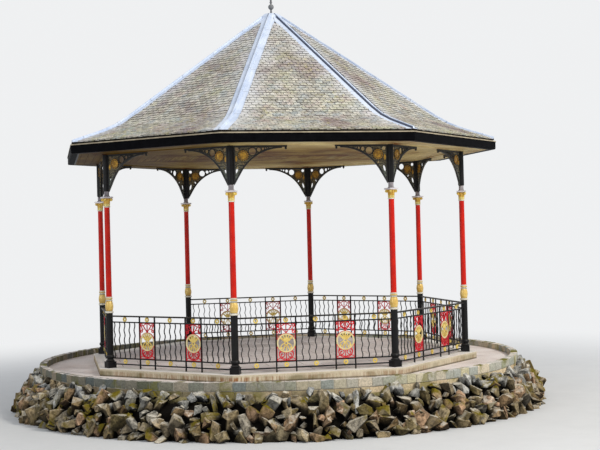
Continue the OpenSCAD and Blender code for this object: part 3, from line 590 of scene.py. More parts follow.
walk_stone = paving_finish("walk_stone", (206, 190, 180), (252, 244, 238), dirt_colour=(176, 160, 146),
                           grain=120.0)
floor_stone = paving_finish("floor_stone", (208, 196, 192), (242, 234, 230), True)
mortar = paving_finish("mortar", (176, 168, 152), (206, 198, 184))
under_slate = paving_finish("under_slate", (26, 22, 19), (44, 38, 32), dirt_colour=(30, 26, 22))
print("flags are", FLAG_LONG, "by", FLAG_WIDE, "m")

# %% [markdown]
# Setts, wall blocks and broken stones are copied many times, so each copy carries a number called tone, from
# 0 to 1. The stone finish reads it as a place on a row of colours, which makes neighbours differ. Moss grows
# in patches. The pale on the tops is partly lichen and partly painted sunlight on the faces that look up.
# Setts and wall blocks are painted darker away from the sun and lighter towards it, as painted light and
# shade. The broken stones of the rockery are rougher, have pits, are painted dark beneath, and are painted
# dark where they lie bedded behind its slope, as painted shade in the gaps.

# %% Stone that differs from block to block
ROCKERY_REACH, ROCKERY_FALL = 0.49, 0.35


def own_tone(place):
    """The number that each copy carries."""
    return node("Attribute", tree=place.tree, gives="Fac", how={"attribute_name": "tone"})


def tone_row(place, colours):
    """The colour that a copy's own tone picks from a row."""
    row = node("ValToRGB", own_tone(place))
    steps = row.socket.node.color_ramp.elements
    steps[0].color, steps[1].color = tint(*colours[0]), tint(*colours[-1])
    for i, colour in enumerate(colours[1:-1], 1):
        steps.new(i / (len(colours) - 1)).color = tint(*colour)
    return row


def painted_gap_shade(place):
    """Painted shade in the gaps: 1 outside the slope of the rockery, and nearly 0 well behind it."""
    parts = node("SeparateXYZ", place).mates()
    fall = (parts["Z"] / ROCKERY_H) ** 2.2 * ROCKERY_FALL
    inward = wall_r + ROCKERY_REACH - fall - length_of(parts["X"], parts["Y"])
    return between(inward, -0.01, 0.09, 1.0, 0.07)


def pits_of(place):
    """Small uneven pits: the cells of a Voronoi pattern, stretched and bent by noise."""
    bent = node("VectorMath", stretched(place, 1.0, 1.0, 1.7), cloud(place, 19.0) * 0.16)
    return between(node("TexVoronoi", vector=bent, scale=31.0, gives="Distance"), 0.05, 0.6)


def block_finish(name, colours, lichen_and_sunlit_top, moss, moss_amount, grit, depth, under=1.0, broken=False):
    """Stone in a row of colours. Under is the light left below, and broken is for the rockery."""
    material, shader, place = new_finish(name, 0.9, shine=0.15)
    rough = cloud(place, grit, 5.0, 0.74)
    contrast = (0.34, 1.32) if broken else (0.72, 1.14)
    stone = shaded(tone_row(place, colours), between(rough, 0.34, 0.66, *contrast))
    stone = shaded(stone, between(facing_up(place), -0.7, 0.3, under, 1.0))
    # Painted shade: the rockery is darkened in its gaps, and setts and wall blocks are painted darker away from
    # the sun and lighter towards it.
    stone = shaded(stone, painted_gap_shade(place) if broken else between(east_of(place), -4.0, 2.5, 0.5, 1.34))
    lichen = between(cloud(place, 7.0, 4.0, 0.6), 0.38, 0.6)
    # The pale on faces that look up is partly lichen and partly painted sunlight.
    stone = mixed(between(facing_up(place), 0.35, 0.9) * lichen * 0.75, stone, lichen_and_sunlit_top)
    patch = between(cloud(place, 2.3, 4.0, 0.6, 0.4), 0.52, 0.64)
    stone = mixed(patch * moss_amount * between(facing_up(place), -0.4, 0.5), stone, moss)
    if broken:
        pit = pits_of(place)
        stone = shaded(stone, between(pit, 0.0, 1.0, 0.72, 1.06))
        rough = rough + pit * 0.25
    dress(shader, stone, rough, depth, 0.8)
    return material


boulder_stone = block_finish("boulder_stone", [
    (128, 130, 130), (196, 194, 186), (140, 138, 130), (170, 150, 116), (112, 100, 62), (196, 160, 128),
    (106, 88, 58), (196, 178, 142)], (232, 224, 206), (116, 102, 28), 1.1, 13.0, 0.03, 0.12, True)
sett_stone = block_finish("sett_stone", [
    (112, 122, 104), (176, 168, 138), (138, 146, 142), (196, 182, 152), (150, 152, 144), (204, 188, 162)],
    (246, 236, 230), (112, 108, 42), 1.5, 34.0, 0.004)
wall_block_stone = block_finish("wall_block_stone", [
    (184, 162, 130), (212, 192, 158), (158, 146, 112), (196, 172, 138)], (222, 210, 178), (122, 116, 48),
    1.6, 30.0, 0.005)
print("stone finishes read the attribute named tone")

# %% [markdown]
# Between the broken stones lies earth, painted near-black as the shade in the deep gaps. At the top of the
# bank it shows, with moss and soil that was washed down from the wall.


# %% Earth of the rockery
def earth_finish():
    material, shader, place = new_finish("rockery_earth_and_painted_shade", 0.95, shine=0.1)
    # The soil is painted near-black, as the shade in the deep gaps between the stones.
    soil_in_painted_shade = tones(place, (7, 6, 5), (24, 20, 15), 3.0, 40.0)
    bank_top = tones(place, (96, 88, 34), (182, 168, 130), 2.2, 30.0)
    high = between(height_of(place) + soil_in_painted_shade["Height"] * 0.1, ROCKERY_H - 0.06, ROCKERY_H + 0.01)
    dress(shader, mixed(high, soil_in_painted_shade["Colour"], bank_top["Colour"]), soil_in_painted_shade["Height"], 0.02, 0.8)
    return material


rockery_earth_and_painted_shade = earth_finish()
print("earth is pale above", round(ROCKERY_H - 0.06, 2), "m")

# %% [markdown]
# ## Timber, lead and slate
#
# The ceiling and the eaves are one flat boarded plane. The boards run along each side and meet in mitres at
# the hip lines, so the distance out from the axis numbers the boards, and its fraction marks the joints.
# The paint is stained brown in blotches, and it is painted browner along the mitres and towards the middle,
# as painted shade. On the sunny side the outer boards are painted paler, as painted light that comes up
# from the walk, and the far side is painted dim, as painted shade.

# %% Painted boards
BOARD_W = 0.125
DIM, BRIGHT = (0.36, 0.28, 0.13, 1), (1.6, 1.6, 1.5, 1)


def board_finish():
    material, shader, place = new_finish("painted_boards", 0.6, shine=0.1)
    plan = placed(eight_sides, place=place)
    out, side, to_hip = plan["Out"], plan["Side"], plan["To Hip"]
    count = out / BOARD_W
    part = maths("FRACT", count)
    joint = between(maths("MINIMUM", part, 1.0 - part), 0.07, 0.02)
    gap = maths("MAXIMUM", joint, between(to_hip, 0.012, 0.004))
    own = node("TexWhiteNoise", vector=place_of(maths("FLOOR", count), side), gives="Value",
               how={"noise_dimensions": "2D"})
    grain_place = place_of(plan["Along"] * 0.25, out * 5.0, side * 3.7)
    grain = cloud(grain_place, 4.0, 5.0, 0.6)
    paint = mixed(between(grain, 0.35, 0.65), (136, 108, 50), (194, 172, 98))
    paint = mixed(own * 0.35, paint, (144, 108, 44))
    sunny = between(east_of(place) + grain * 2.0, -2.6, 2.6)
    # Painted light: the outer boards on the sunny side are painted paler, as if lit from the walk below.
    painted_bounce_light = between(out, 1.8, 3.5, 0.0, 0.85) * between(sunny, 0.0, 0.7, 0.2, 1.0)
    paint = mixed(painted_bounce_light, paint, mixed(between(grain, 0.3, 0.7), (178, 164, 124), (202, 190, 150)))
    # Brown blotches in the grain are stains. The browning along the mitres and towards the middle is painted
    # shade.
    stain_and_painted_shade = between(grain, 0.42, 0.68, 0.0, 0.5) + between(to_hip, 0.5, 0.0, 0.0, 0.35)
    browning_and_painted_shade = (stain_and_painted_shade + between(out, 2.6, 0.3, 0.15, 0.55)) * between(cloud(place, 1.3, 4.0, 0.6), 0.35, 0.65)
    paint = mixed(browning_and_painted_shade * 1.5, paint, (106, 64, 26))
    bloom = between(cloud(grain_place, 1.3, 4.0, 0.6, 0.6), 0.5, 0.64, 0.0, 0.6)
    paint = mixed(bloom * (1.0 - painted_bounce_light), paint, (168, 158, 108))
    # Painted light and shade: brighter on the sunny side towards the eaves, and dimmer elsewhere.
    lit = between(sunny, 0.05, 0.75) * between(out, 1.4, 3.2, 0.5, 1.0)
    paint = shaded(paint, mixed(lit, DIM, BRIGHT))
    dress(shader, mixed(gap * 0.6, paint, (66, 48, 34)), grain - gap * 3.0, 0.004, 0.6)
    return material


boards = board_finish()
print("boards are", BOARD_W, "m wide")

# %% [markdown]
# The hips are covered with sheet lead, dressed over a wooden roll. Rain leaves pale runs down it, and the
# sheets lap. On the side of a hip that is turned from the sun, a narrow band of painted shade lies along the
# roll.

# %% Lead with laps and runs
LEAD_SHEET = 0.62


def lead_finish():
    material, shader, place = new_finish("milled_lead", 0.55, 0.1)
    plan = placed(eight_sides, place=place)
    side, to_hip = plan["Side"], plan["To Hip"]
    sheet = tones(place, (188, 202, 226), (230, 238, 250), 2.6, 30.0)
    run = between(streaked(to_hip, side, plan["Out"], 14.0, 0.1), 0.5, 0.72, 0.0, 0.5)
    colour = mixed(run, sheet["Colour"], (246, 249, 252))
    # A narrow dark band beside the roll, on the side turned from the sun: painted shade.
    near_roll = between(to_hip, 0.012, 0.018) * between(to_hip, 0.040, 0.032)
    flank = maths("SIGN", plan["Along"])
    to_back = maths("SINE", side * TURN + flank * HALF)
    painted_shade_side = maths("LESS_THAN", flank * to_back, 0.0) * between(abs(to_back), 0.3, 0.9, 0.2, 0.9)
    colour = mixed(near_roll * painted_shade_side, colour, (50, 57, 82))
    step = between(maths("FRACT", plan["Out"] / LEAD_SHEET), 0.0, 0.03)
    colour = mixed((1.0 - step) * 0.5, colour, (104, 112, 126))
    dress(shader, colour, sheet["Height"] + step, 0.004, 0.5)
    return material


lead = lead_finish()
print("lead laps every", LEAD_SHEET, "m")

# %% [markdown]
# The slates are buff and grey stone, with broad purple-brown patches and small spots of yellow lichen. The
# tone of each slate shifts it a little from its neighbours. Four drifts of colour are the same noise, read
# at places that are moved apart. Lead washes the slates near a hip paler, and the tails, which face down
# the slope, are painted dark as painted shade, less so low on the roof.

# %% Stone slates
DRIFTS = [(3.1, 0.0, (210, 184, 178)), (2.3, 7.0, (204, 202, 164)), (3.9, 13.0, (176, 190, 196)),
          (5.3, 21.0, (234, 230, 222))]


def slate_finish():
    material, shader, place = new_finish("stone_slate", 0.8, shine=0.25)
    slate = mixed(own_tone(place), (168, 163, 150), (224, 218, 200))
    for scale, offset, colour in DRIFTS:
        apart = node("VectorMath", place, (offset, offset, offset))
        slate = mixed(between(cloud(apart, scale, 4.0, 0.7), 0.48, 0.66, 0.0, 0.55), slate, colour)
    broad = cloud(stretched(place, 1.0, 1.0, 0.8), 0.7, 4.0, 0.62, 0.3)
    slate = mixed(between(broad, 0.48, 0.66, 0.0, 0.65), slate, (150, 124, 126))
    mottled = cloud(place, 34.0, 3.0, 0.75)
    slate = shaded(slate, between(mottled, 0.36, 0.64, 0.6, 1.2))
    lichen = between(cloud(place, 9.0, 4.0, 0.7), 0.54, 0.64) * between(cloud(place, 1.1), 0.4, 0.62)
    slate = mixed(lichen * 0.45, slate, (206, 196, 118))
    near_hip = between(placed(eight_sides, place=place)["To Hip"], 0.55, 0.1)
    wash = near_hip * between(cloud(place, 1.7, 4.0, 0.6), 0.35, 0.6, 0.15, 0.7)
    slate = mixed(wash, slate, (226, 226, 228))
    # Faces that turn down the slope are painted dark, as painted shade under each course.
    painted_tail_shade = between(facing_up(place), 0.6, 0.42) * between(height_of(place), 5.0, 5.35, 0.2, 0.8)
    dress(shader, mixed(painted_tail_shade, slate, (38, 36, 36)), mottled, 0.005, 0.7)
    return material


slate_stone = slate_finish()
print(len(DRIFTS), "drifts of colour on the slates")

# %% [markdown]
# ## Finishes on the solids
#
# Each solid takes its finish in its own material slot. The solids that the added blocks cover get the colour
# of what shows between those blocks: mortar behind the setts, and earth painted near-black as shade behind
# the broken stones.

# %% Dress the solids
FINISHES = {
    "rockery": rockery_earth_and_painted_shade, "island_core": rockery_earth_and_painted_shade, "terrace_wall": mortar, "terrace_kerb": mortar,
    "terrace_paving": walk_stone, "plinth_stones": plinth_stone, "floor": floor_stone,
    "column_feet": black_iron, "column_vases": vase_paint, "column_shafts": red_iron,
    "column_capitals": capital_paint, "upper_posts": neck_paint_and_sheen, "rail_rings": ring_gold,
    "rail_medallions": medallion_gold, "scroll_panels": scroll_red, "bracket_rosettes": gold_iron,
    "ring_beam": boards, "ceiling": boards, "eaves_soffit": boards, "fascia": black_iron,
    "gutter": gutter_paint, "hip_leads": lead, "apex_cap": lead, "finial": grey_iron,
}
NUMBERED = {"railing": black_iron, "bay_brackets": bracket_iron, "roof_slope": under_slate}
for name, solid in solids.items():
    solid.data.materials.clear()
    solid.data.materials.append(FINISHES.get(name) or NUMBERED[name.rsplit("_", 1)[0]])
print("dressed", len(solids), "solids")

# %% [markdown]
# ## Modelling helpers
#
# A master piece is shaped once, with the same operators as by hand. Copies of it are then gathered into one
# mesh, each turned and sized by its own matrix, and each with its own tone. One mesh of many copies draws
# faster than many objects, and its place is already in its points.


# %% Helpers for masters and copies
def edit(piece):
    """Opens this piece alone in edit mode."""
    bpy.ops.object.select_all(action="DESELECT")
    piece.select_set(True)
    bpy.context.view_layer.objects.active = piece
    bpy.ops.object.mode_set(mode="EDIT")


def leave_edit():
    bpy.ops.object.mode_set(mode="OBJECT")
    bpy.ops.object.select_all(action="DESELECT")


def pick(piece, edges=None, faces=None, points=None):
    """Selects elements in edit mode by a test of their middle, or of a face's normal too."""
    bpy.ops.mesh.select_all(action="DESELECT")
    bpy.ops.object.mode_set(mode="OBJECT")
    mesh = piece.data
    bpy.context.tool_settings.mesh_select_mode = (bool(points), bool(edges), bool(faces))
    if points:
        for v in mesh.vertices:
            v.select = bool(points(v.co))
    if edges:
        for e in mesh.edges:
            a, b = (mesh.vertices[i].co for i in e.vertices)
            e.select = bool(edges((a + b) / 2, b - a))
    if faces:
        for f in mesh.polygons:
            f.select = bool(faces(f.center, f.normal))
    bpy.ops.object.mode_set(mode="EDIT")


def cut_off(point, outwards):
    """Cuts away what lies outwards of a plane, and closes the cut."""
    bpy.ops.mesh.select_all(action="SELECT")
    bpy.ops.mesh.bisect(plane_co=point, plane_no=outwards, use_fill=True, clear_outer=True)


def start_piece(name):
    """The primitive that was just added, at its place and open in edit mode."""
    piece = bpy.context.object
    piece.name = name
    bpy.ops.object.transform_apply(location=True, rotation=True, scale=True)
    edit(piece)
    return piece


def block(name, size, middle=(0, 0, 0)):
    """A cube primitive at its size, as the start of a piece."""
    bpy.ops.mesh.primitive_cube_add(size=1, location=middle)
    bpy.context.object.scale = size
    return start_piece(name)


# %% [markdown]
# A matrix says where a copy goes. Read from right to left, it sizes the master, then turns it, and then moves
# it to its place.


# %% Gather copies into one mesh
def turned(angle, axis="Z"):
    return Matrix.Rotation(angle, 4, axis)


def moved(x, y, z):
    return Matrix.Translation((x, y, z))


def copies(name, masters, spots, finish):
    """One object of many copies. Each spot is (which master, its matrix, its tone)."""
    points, rings, tones_of_faces = [], [], []
    for number, matrix, tone in spots:
        master = masters[number].data
        rings.extend([len(points) + i for i in face.vertices] for face in master.polygons)
        tones_of_faces.extend([tone] * len(master.polygons))
        points.extend([tuple(matrix @ v.co) for v in master.vertices])
    mesh = bpy.data.meshes.new(name)
    mesh.from_pydata(points, [], rings)
    mesh.attributes.new("tone", "FLOAT", "FACE").data.foreach_set("value", tones_of_faces)
    mesh.materials.append(finish)
    piece = bpy.data.objects.new(name, mesh)
    bpy.context.scene.collection.objects.link(piece)
    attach(piece, "root")
    return piece


def discard(masters):
    for master in masters:
        bpy.data.objects.remove(master)


# %% [markdown]
# ## Kerb setts
#
# The kerb is a ring of long setts with pale mortar between them. A sett starts as a block of unit length, its
# edges are bevelled and its faces pushed in and out a little, as dressed stone is. Three masters are enough,
# because each copy has its own length and tone. The wall below has a first course of the same blocks. The
# noise is given a fixed seed, because otherwise it takes one from the clock and no two runs are alike.

# %% Model three setts
noise.seed_set(5)


def sett_master(name, seed):
    """A dressed block: a cube cut up, its edges rounded and its points moved a little."""
    piece = block(name, (1, 1, 1))
    bpy.ops.mesh.select_all(action="SELECT")
    bpy.ops.mesh.bevel(offset=0.05, segments=2, affect="EDGES")
    pick(piece, edges=lambda middle, line: abs(line.x) > 0.6)
    bpy.ops.mesh.subdivide(number_cuts=2)
    leave_edit()
    for v in piece.data.vertices:
        v.co += noise.noise_vector(v.co * 2.2 + Vector((seed * 11.3, 4.1, 0))) * 0.05
    return piece


setts = [sett_master(f"sett_{i}", i) for i in range(3)]
print("setts have", [len(s.data.polygons) for s in setts], "faces")

# %% Lay the kerb and the first course of the wall
SETT_L, SETT_JOINT, SETT_PROUD, SETT_RAISED = 0.215, 0.010, 0.008, 0.007
WALL_L, WALL_JOINT, WALL_PROUD, WALL_DEEP = 0.30, 0.012, 0.012, 0.08
rand = random.Random(7)


def ring_of_blocks(mean, joint, radius, depth, foot, top, proud):
    """Spots for blocks laid end to end round a circle, with the lengths varied."""
    spots, angle, lengths = [], 0.0, []
    while sum(lengths) < math.tau * radius - mean * 0.5:
        lengths.append(mean * rand.uniform(0.78, 1.22) + joint)
    fit = math.tau * radius / sum(lengths)
    for length in lengths:
        half_angle = length * fit / radius / 2
        angle += half_angle
        out_r = radius + proud * rand.uniform(0.6, 1.2) - depth / 2
        matrix = (turned(angle) @ moved(0, -out_r, (top + foot) / 2) @ turned(rand.uniform(-0.006, 0.006), "X")
                  @ Matrix.Diagonal((length * fit - joint, depth, top - foot, 1)))
        spots.append((rand.randrange(3), matrix, rand.random()))
        angle += half_angle
    return spots


# The joint under the kerb is 10 mm high, and the wall blocks go down behind the stones of the rockery.
kerb_deep = kerb_r - reach_of("island_core") + 0.012
kerb_spots = ring_of_blocks(SETT_L, SETT_JOINT, kerb_r, kerb_deep, kerb_foot_z + 0.004,
                            kerb_top_z + SETT_RAISED, SETT_PROUD)
copies("kerb_setts", setts, kerb_spots, sett_stone)
wall_spots = ring_of_blocks(WALL_L, WALL_JOINT, wall_r, WALL_DEEP, ROCKERY_H - 0.06,
                            kerb_foot_z - 0.006, WALL_PROUD)
copies("wall_blocks", setts, wall_spots, wall_block_stone)
discard(setts)
print(len(kerb_spots), "setts over", len(wall_spots), "wall blocks")

# %% [markdown]
# ## Rockery
#
# The foot of the terrace is a rough rockery of broken stone with deep gaps. The solid gives its slope and its
# largest boulders. Here a piece of finer, true-size stones stands for it: a bank of earth, painted near-black
# as the shade in the gaps, set back from the slope, and stones bedded in it. A stone starts as a cube, flat
# cuts by bisect give it the facets that broken rock has, and then its edges are bevelled and its corners
# moved. Sixteen of them are enough, because each copy is turned, sized and coloured in its own way.

# %% Model the broken stones
STONES = 16
SLOPE = [(0.0, ROCKERY_REACH), (0.35, 0.4606), (0.75, 0.3234), (1.0, ROCKERY_REACH - ROCKERY_FALL)]


def slope_r(share):
    """How far out the slope is, at a share of the rockery's height."""
    share = min(max(share, 0.0), 1.0)
    for (f0, r0), (f1, r1) in zip(SLOPE, SLOPE[1:]):
        if share <= f1:
            return wall_r + r0 + (r1 - r0) * (share - f0) / (f1 - f0)


def broken_stone(name, seed):
    """A rough block with six cuts at random, each a flat facet."""
    cuts = random.Random(seed)
    piece = block(name, (cuts.uniform(0.85, 1.1), cuts.uniform(0.6, 0.95), cuts.uniform(0.4, 0.75)))
    for _ in range(6):
        direction = Vector([cuts.uniform(-1, 1) for _ in range(3)]).normalized()
        cut_off(direction * cuts.uniform(0.22, 0.42), direction)
    bpy.ops.mesh.select_all(action="SELECT")
    bpy.ops.mesh.remove_doubles(threshold=0.03)
    bpy.ops.mesh.bevel(offset=0.028, segments=1, affect="EDGES")
    leave_edit()
    for v in piece.data.vertices:
        v.co += noise.noise_vector(v.co * 2.6 + Vector((seed * 5.7, 0, 0))) * 0.11
    return piece


stones = [broken_stone(f"stone_{i}", 40 + i) for i in range(STONES)]
print("stones have", [len(s.data.polygons) for s in stones], "faces")

# %% Model the bank of earth
BANK_H, BANK_BACK = ROCKERY_H - 0.01, 0.145
bpy.ops.mesh.primitive_cone_add(vertices=96, radius1=wall_r + 0.33, radius2=wall_r + 0.005, depth=BANK_H,
                                end_fill_type="NOTHING", location=(0, 0, BANK_H / 2))
bank = start_piece("rockery_bank")
pick(bank, edges=lambda middle, line: abs(line.z) > 0.3)
bpy.ops.mesh.subdivide(number_cuts=5)
leave_edit()
for v in bank.data.vertices:
    around = math.atan2(v.co.y, v.co.x)
    r = max(slope_r(v.co.z / ROCKERY_H) - BANK_BACK + 0.05 * noise.noise(v.co * 3.1), wall_r)
    v.co.x, v.co.y = r * math.cos(around), r * math.sin(around)
bank.data.materials.append(rockery_earth_and_painted_shade)
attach(bank, "root")
print("bank has", len(bank.data.polygons), "faces")

# %% [markdown]
# The stones lie in rows round the bank. Seven rows go up the slope, flat and large below, upright and greyer
# towards the top, and four rows of small stones fill the gaps between them. At the end the stones are cut
# level at the foot.

# %% Lay the stones
# Each row: share of the rockery's height, how many stones, their size, and how far they stand proud.
STONE_ROWS = [
    (0.04, 110, 0.29, 0.0), (0.22, 100, 0.31, 0.01), (0.41, 98, 0.31, 0.01), (0.60, 100, 0.30, 0.0),
    (0.79, 104, 0.28, 0.0), (0.93, 112, 0.24, -0.01), (0.99, 90, 0.17, -0.01),
    (0.14, 90, 0.17, -0.03), (0.32, 110, 0.17, -0.03), (0.51, 110, 0.17, -0.03), (0.70, 90, 0.16, -0.03)]
UPRIGHT_FROM, FOOT_CUT = 0.75, 0.001
rand = random.Random(11)


def any_turn(*angles):
    return Euler(angles).to_matrix().to_4x4()


def row_tones(share):
    """The range of tones in a row: greys at the top, browns at the foot."""
    return (0.0, 0.42) if share > 0.8 else (0.1, 0.8) if share > 0.6 else (0.3, 1.0)


stone_spots = []
for share, count, size, proud in STONE_ROWS:
    start = rand.uniform(0, 6)
    for i in range(count):
        level = share + rand.uniform(-0.07, 0.07)
        degrees = start + (i + rand.uniform(-0.3, 0.3)) * 360 / count
        across, high = size * rand.uniform(0.55, 1.25), size * rand.uniform(0.5, 1.2)
        if share > UPRIGHT_FROM:
            across, high = across * 0.75, high * 1.3
        deep = size * rand.uniform(0.85, 1.2)
        out_r = slope_r(level) + proud - deep * 0.34 + rand.uniform(-0.03, 0.04)
        matrix = (turned(math.radians(degrees)) @ moved(out_r, 0, max(level, 0) * ROCKERY_H)
                  @ any_turn(rand.uniform(-0.9, 0.9), rand.uniform(-0.5, 0.3), rand.uniform(-0.5, 0.5))
                  @ Matrix.Diagonal((deep, across, high, 1))
                  @ any_turn(*(rand.choice((0, 1, 2, 3)) * math.pi / 2 + rand.uniform(-0.3, 0.3)
                               for _ in range(3))))
        tone = rand.uniform(*row_tones(share))
        stone_spots.append((rand.randrange(STONES), matrix, tone))
rockery_stones = copies("rockery_stones", stones, stone_spots, boulder_stone)
edit(rockery_stones)
bpy.ops.mesh.select_all(action="SELECT")
bpy.ops.mesh.bisect(plane_co=(0, 0, FOOT_CUT), plane_no=(0, 0, 1), use_fill=True, clear_inner=True)
leave_edit()
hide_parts("rockery")
discard(stones)
print(len(stone_spots), "stones with", len(rockery_stones.data.polygons), "faces, reaching",
      round(max(math.hypot(v.co.x, v.co.y) for v in rockery_stones.data.vertices), 3), "m out")

# %% [markdown]
# ## Slates
#
# One slate is a thin slab whose tail corners are knocked off. The courses run up each slope at a gauge of
# 84 mm, each course half a slate off the last, and the course at the eaves is double, as slaters lay it.
# Every slate lies at the slope of the roof under it and lifts its tail over the one below. The slope's
# slates are then cut along the edge of the lead with bisect.

# %% Model three slates
SLATE_W, SLATE_L, SLATE_T, GAUGE, SLATE_GAP = 0.122, 0.150, 0.012, 0.084, 0.010


def slate_master(name, chip, skew):
    """A slab with chipped tail corners, and one side of its tail moved up or down."""
    piece = block(name, (SLATE_W - SLATE_GAP, SLATE_L, SLATE_T), (0, SLATE_L / 2, SLATE_T / 2))
    pick(piece, edges=lambda middle, line: middle.y < 0.001 and abs(line.z) > SLATE_T * 0.5)
    bpy.ops.mesh.bevel(offset=chip, segments=1, affect="EDGES")
    pick(piece, points=lambda point: point.y < 0.02 and point.x > 0)
    bpy.ops.transform.translate(value=(0, skew, 0))
    leave_edit()
    return piece


slates = [slate_master("slate_a", 0.010, 0.0), slate_master("slate_b", 0.016, 0.006),
          slate_master("slate_c", 0.006, -0.005)]
print("a slate has", [len(s.data.polygons) for s in slates], "faces")

# %% Read the roof's own line off a slope
# The upper surface of the front slope, sampled along its middle from the eave to the apex.
front_slope = min((s for n, s in solids.items() if n.startswith("roof_slope")),
                  key=lambda s: sum(v.co.y for v in s.data.vertices) / len(s.data.vertices))
tops = {}
for face in front_slope.data.polygons:
    if face.normal.z > 0.3:
        for i in face.vertices:
            point = front_slope.data.vertices[i].co
            tops[round(-point.y, 3)] = point.z
roof_line = [(r, tops[r]) for r in sorted(tops, reverse=True)]
slope_length = sum(math.dist(low, high) for low, high in zip(roof_line, roof_line[1:]))


def roof_point(distance):
    """The distance out and height at a distance up the roof line from the eave."""
    for (r0, z0), (r1, z1) in zip(roof_line, roof_line[1:]):
        length = math.hypot(r1 - r0, z1 - z0)
        if distance <= length or (r1, z1) == roof_line[-1]:
            t = distance / length
            return r0 + (r1 - r0) * t, z0 + (z1 - z0) * t
        distance -= length


print("roof line", [(round(r, 3), round(z, 3)) for r, z in roof_line])

# %% Lay the slates on every slope
LEAD_W, LEAD_LAP, BARE_TOP, OVERHANG = 0.130, 0.004, 0.45, 0.012
BED, MOST_LIFT = 0.0045, 0.008
rand = random.Random(23)


def slope_spots():
    """Spots for the slates of one slope that faces -Y, course by course from the eave."""
    spots, course = [], 0
    while course * GAUGE < slope_length - BARE_TOP:
        start = max(course * GAUGE - OVERHANG, 0.0)
        (r, z), (head_r, head_z) = roof_point(start), roof_point(start + SLATE_L)
        pitch_here = math.atan2(head_z - z, r - head_r)
        half_width = r * math.tan(HALF) - LEAD_W * 0.6
        x = (-math.ceil(half_width / SLATE_W) * SLATE_W
             + (course % 2) * SLATE_W / 2 + rand.uniform(-0.008, 0.008))
        while x < half_width + SLATE_W / 2:
            lift = rand.uniform(0.0, MOST_LIFT)
            matrix = (moved(x, -r, z + BED + lift) @ turned(pitch_here - (SLATE_T + lift) / SLATE_L, "X")
                      @ turned(rand.uniform(-0.012, 0.012)))
            spots.append((rand.randrange(3), matrix, rand.random()))
            if course == 0:
                spots.append((0, moved(SLATE_W / 2, -0.005, -SLATE_T - 0.004) @ matrix, rand.random()))
            x += SLATE_W
        course += 1
    return spots


for number in range(SIDES):
    slope = copies(f"slates_{number + 1}", slates, slope_spots(), slate_stone)
    edit(slope)
    for m in (-1, 1):
        across = Vector((m * math.cos(HALF), math.sin(HALF), 0))
        cut_off(across * -(LEAD_W - LEAD_LAP), across)
    leave_edit()
    slope.data.transform(turned(number * TURN))
discard(slates)
print(SIDES, "slopes of slates, the last with", len(slope.data.polygons), "faces")

# %% [markdown]
# ## Beads round the rosettes
#
# Every rosette ring in the brackets carries a circle of small gold beads on both faces. One bead is a low
# icosphere, flattened where it sits on the ring.

# %% Model a bead and set the circles
BEADS, BEAD_R, BEAD_SUNK, BEAD_CIRCLE_R, RING_FACE = 16, 0.0085, 0.003, 0.082, 0.0165
bpy.ops.mesh.primitive_ico_sphere_add(subdivisions=2, radius=BEAD_R)
bead = start_piece("bead")
cut_off((0, BEAD_SUNK, 0), (0, 1, 0))
leave_edit()
bead_spots = []
for number in range(SIDES):
    for m in (-1, 1):
        for face in (-1, 1):
            facing = turned(math.pi if face < 0 else 0.0)
            for k in range(BEADS):
                a = math.tau * k / BEADS
                spot = moved(m * (bay_half - ROSETTE_IN) + BEAD_CIRCLE_R * math.cos(a),
                             -bay_out - face * RING_FACE,
                             beam_z - ROSETTE_DOWN + BEAD_CIRCLE_R * math.sin(a))
                bead_spots.append((0, turned(number * TURN) @ spot @ facing, 0.5))
copies("ring_beads", [bead], bead_spots, gold_iron)
discard([bead])
print(len(bead_spots), "beads")

# %% [markdown]
# ## Volutes of the capitals
#
# Under each corner of the abacus curls a small volute. It starts as a short cylinder laid on its side, and its
# two ends are inset and pushed in and out, so that a roll stands round a sunk band and a raised eye. Its
# upper half is wider than its lower half, as a volute flares under the slab that it carries.

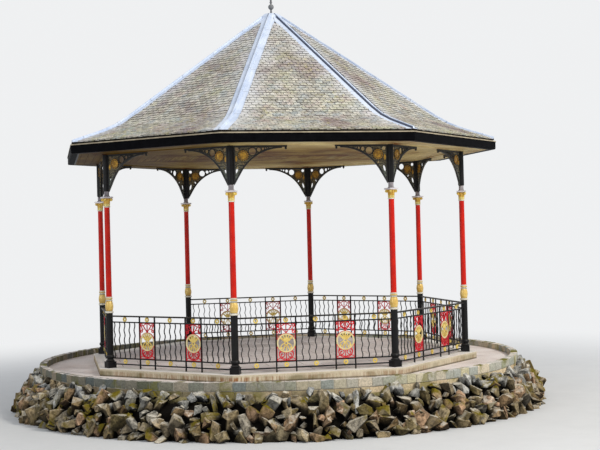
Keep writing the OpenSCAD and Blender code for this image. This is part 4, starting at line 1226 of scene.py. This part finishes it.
# %% Model a volute and set four on each capital
VOLUTE_R, VOLUTE_L, VOLUTE_OUT, ABACUS_T = 0.027, 0.030, 0.078, 0.028
bpy.ops.mesh.primitive_cylinder_add(vertices=20, radius=VOLUTE_R, depth=VOLUTE_L, rotation=(math.pi / 2, 0, 0))
volute = start_piece("volute")
for inward, step in ((0.006, 0.0), (0.001, -0.004), (0.008, 0.0), (0.002, 0.005)):
    pick(volute, faces=lambda middle, normal: abs(normal.y) > 0.9 and math.hypot(middle.x, middle.z) < 0.001)
    bpy.ops.mesh.inset(thickness=inward, depth=step)
leave_edit()
for v in volute.data.vertices:
    v.co.y *= 1.0 + 0.25 * (v.co.z / VOLUTE_R)
volute_spots = []
for number in range(SIDES):
    on_column = turned(HALF + number * TURN) @ moved(column_r, 0, neck_z - ABACUS_T - 0.026)
    for corner in range(4):
        matrix = on_column @ turned(math.pi / 4 + corner * math.pi / 2) @ moved(VOLUTE_OUT, 0, 0)
        volute_spots.append((0, matrix, 0.5))
volutes = copies("capital_volutes", [volute], volute_spots, ring_gold)
discard([volute])
print(len(volute_spots), "volutes with", len(volutes.data.polygons), "faces")

# %% [markdown]
# ## Floor of the stage
#
# The stage floor is a pale, slightly uneven sheet. It takes the building's shadow close by, and farther out
# it passes into the plain backdrop, so that no horizon line shows.

# %% Finish the ground sheet
FADE_FROM, FADE_TO = 6.0, 17.0
pale_sheet, shader, place = new_finish("pale_sheet", 0.9)
plug(shader.inputs["Base Color"], tones(place, (214, 214, 212), (224, 224, 222), 0.2, 2.0, 0.3)["Colour"])
glow = node("Emission", BACKDROP, BACKDROP_LIGHT, tree=place.tree)
off_middle = node("VectorMath", place, gives="Value", how={"operation": "LENGTH"})
fade = between(off_middle, FADE_FROM, FADE_TO) * node("LightPath", tree=place.tree, gives="Is Camera Ray")
blend = node("MixShader", fade, Pattern(shader.outputs[0]), glow)
plug(place.tree.nodes["Material Output"].inputs["Surface"], blend)
ground.data.materials.append(pale_sheet)
print("the sheet fades out between", FADE_FROM, "and", FADE_TO, "m")

# %% Note the sizes and finish
low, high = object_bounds()
print("dressed box", tuple(round(v, 3) for v in low), tuple(round(v, 3) for v in high))
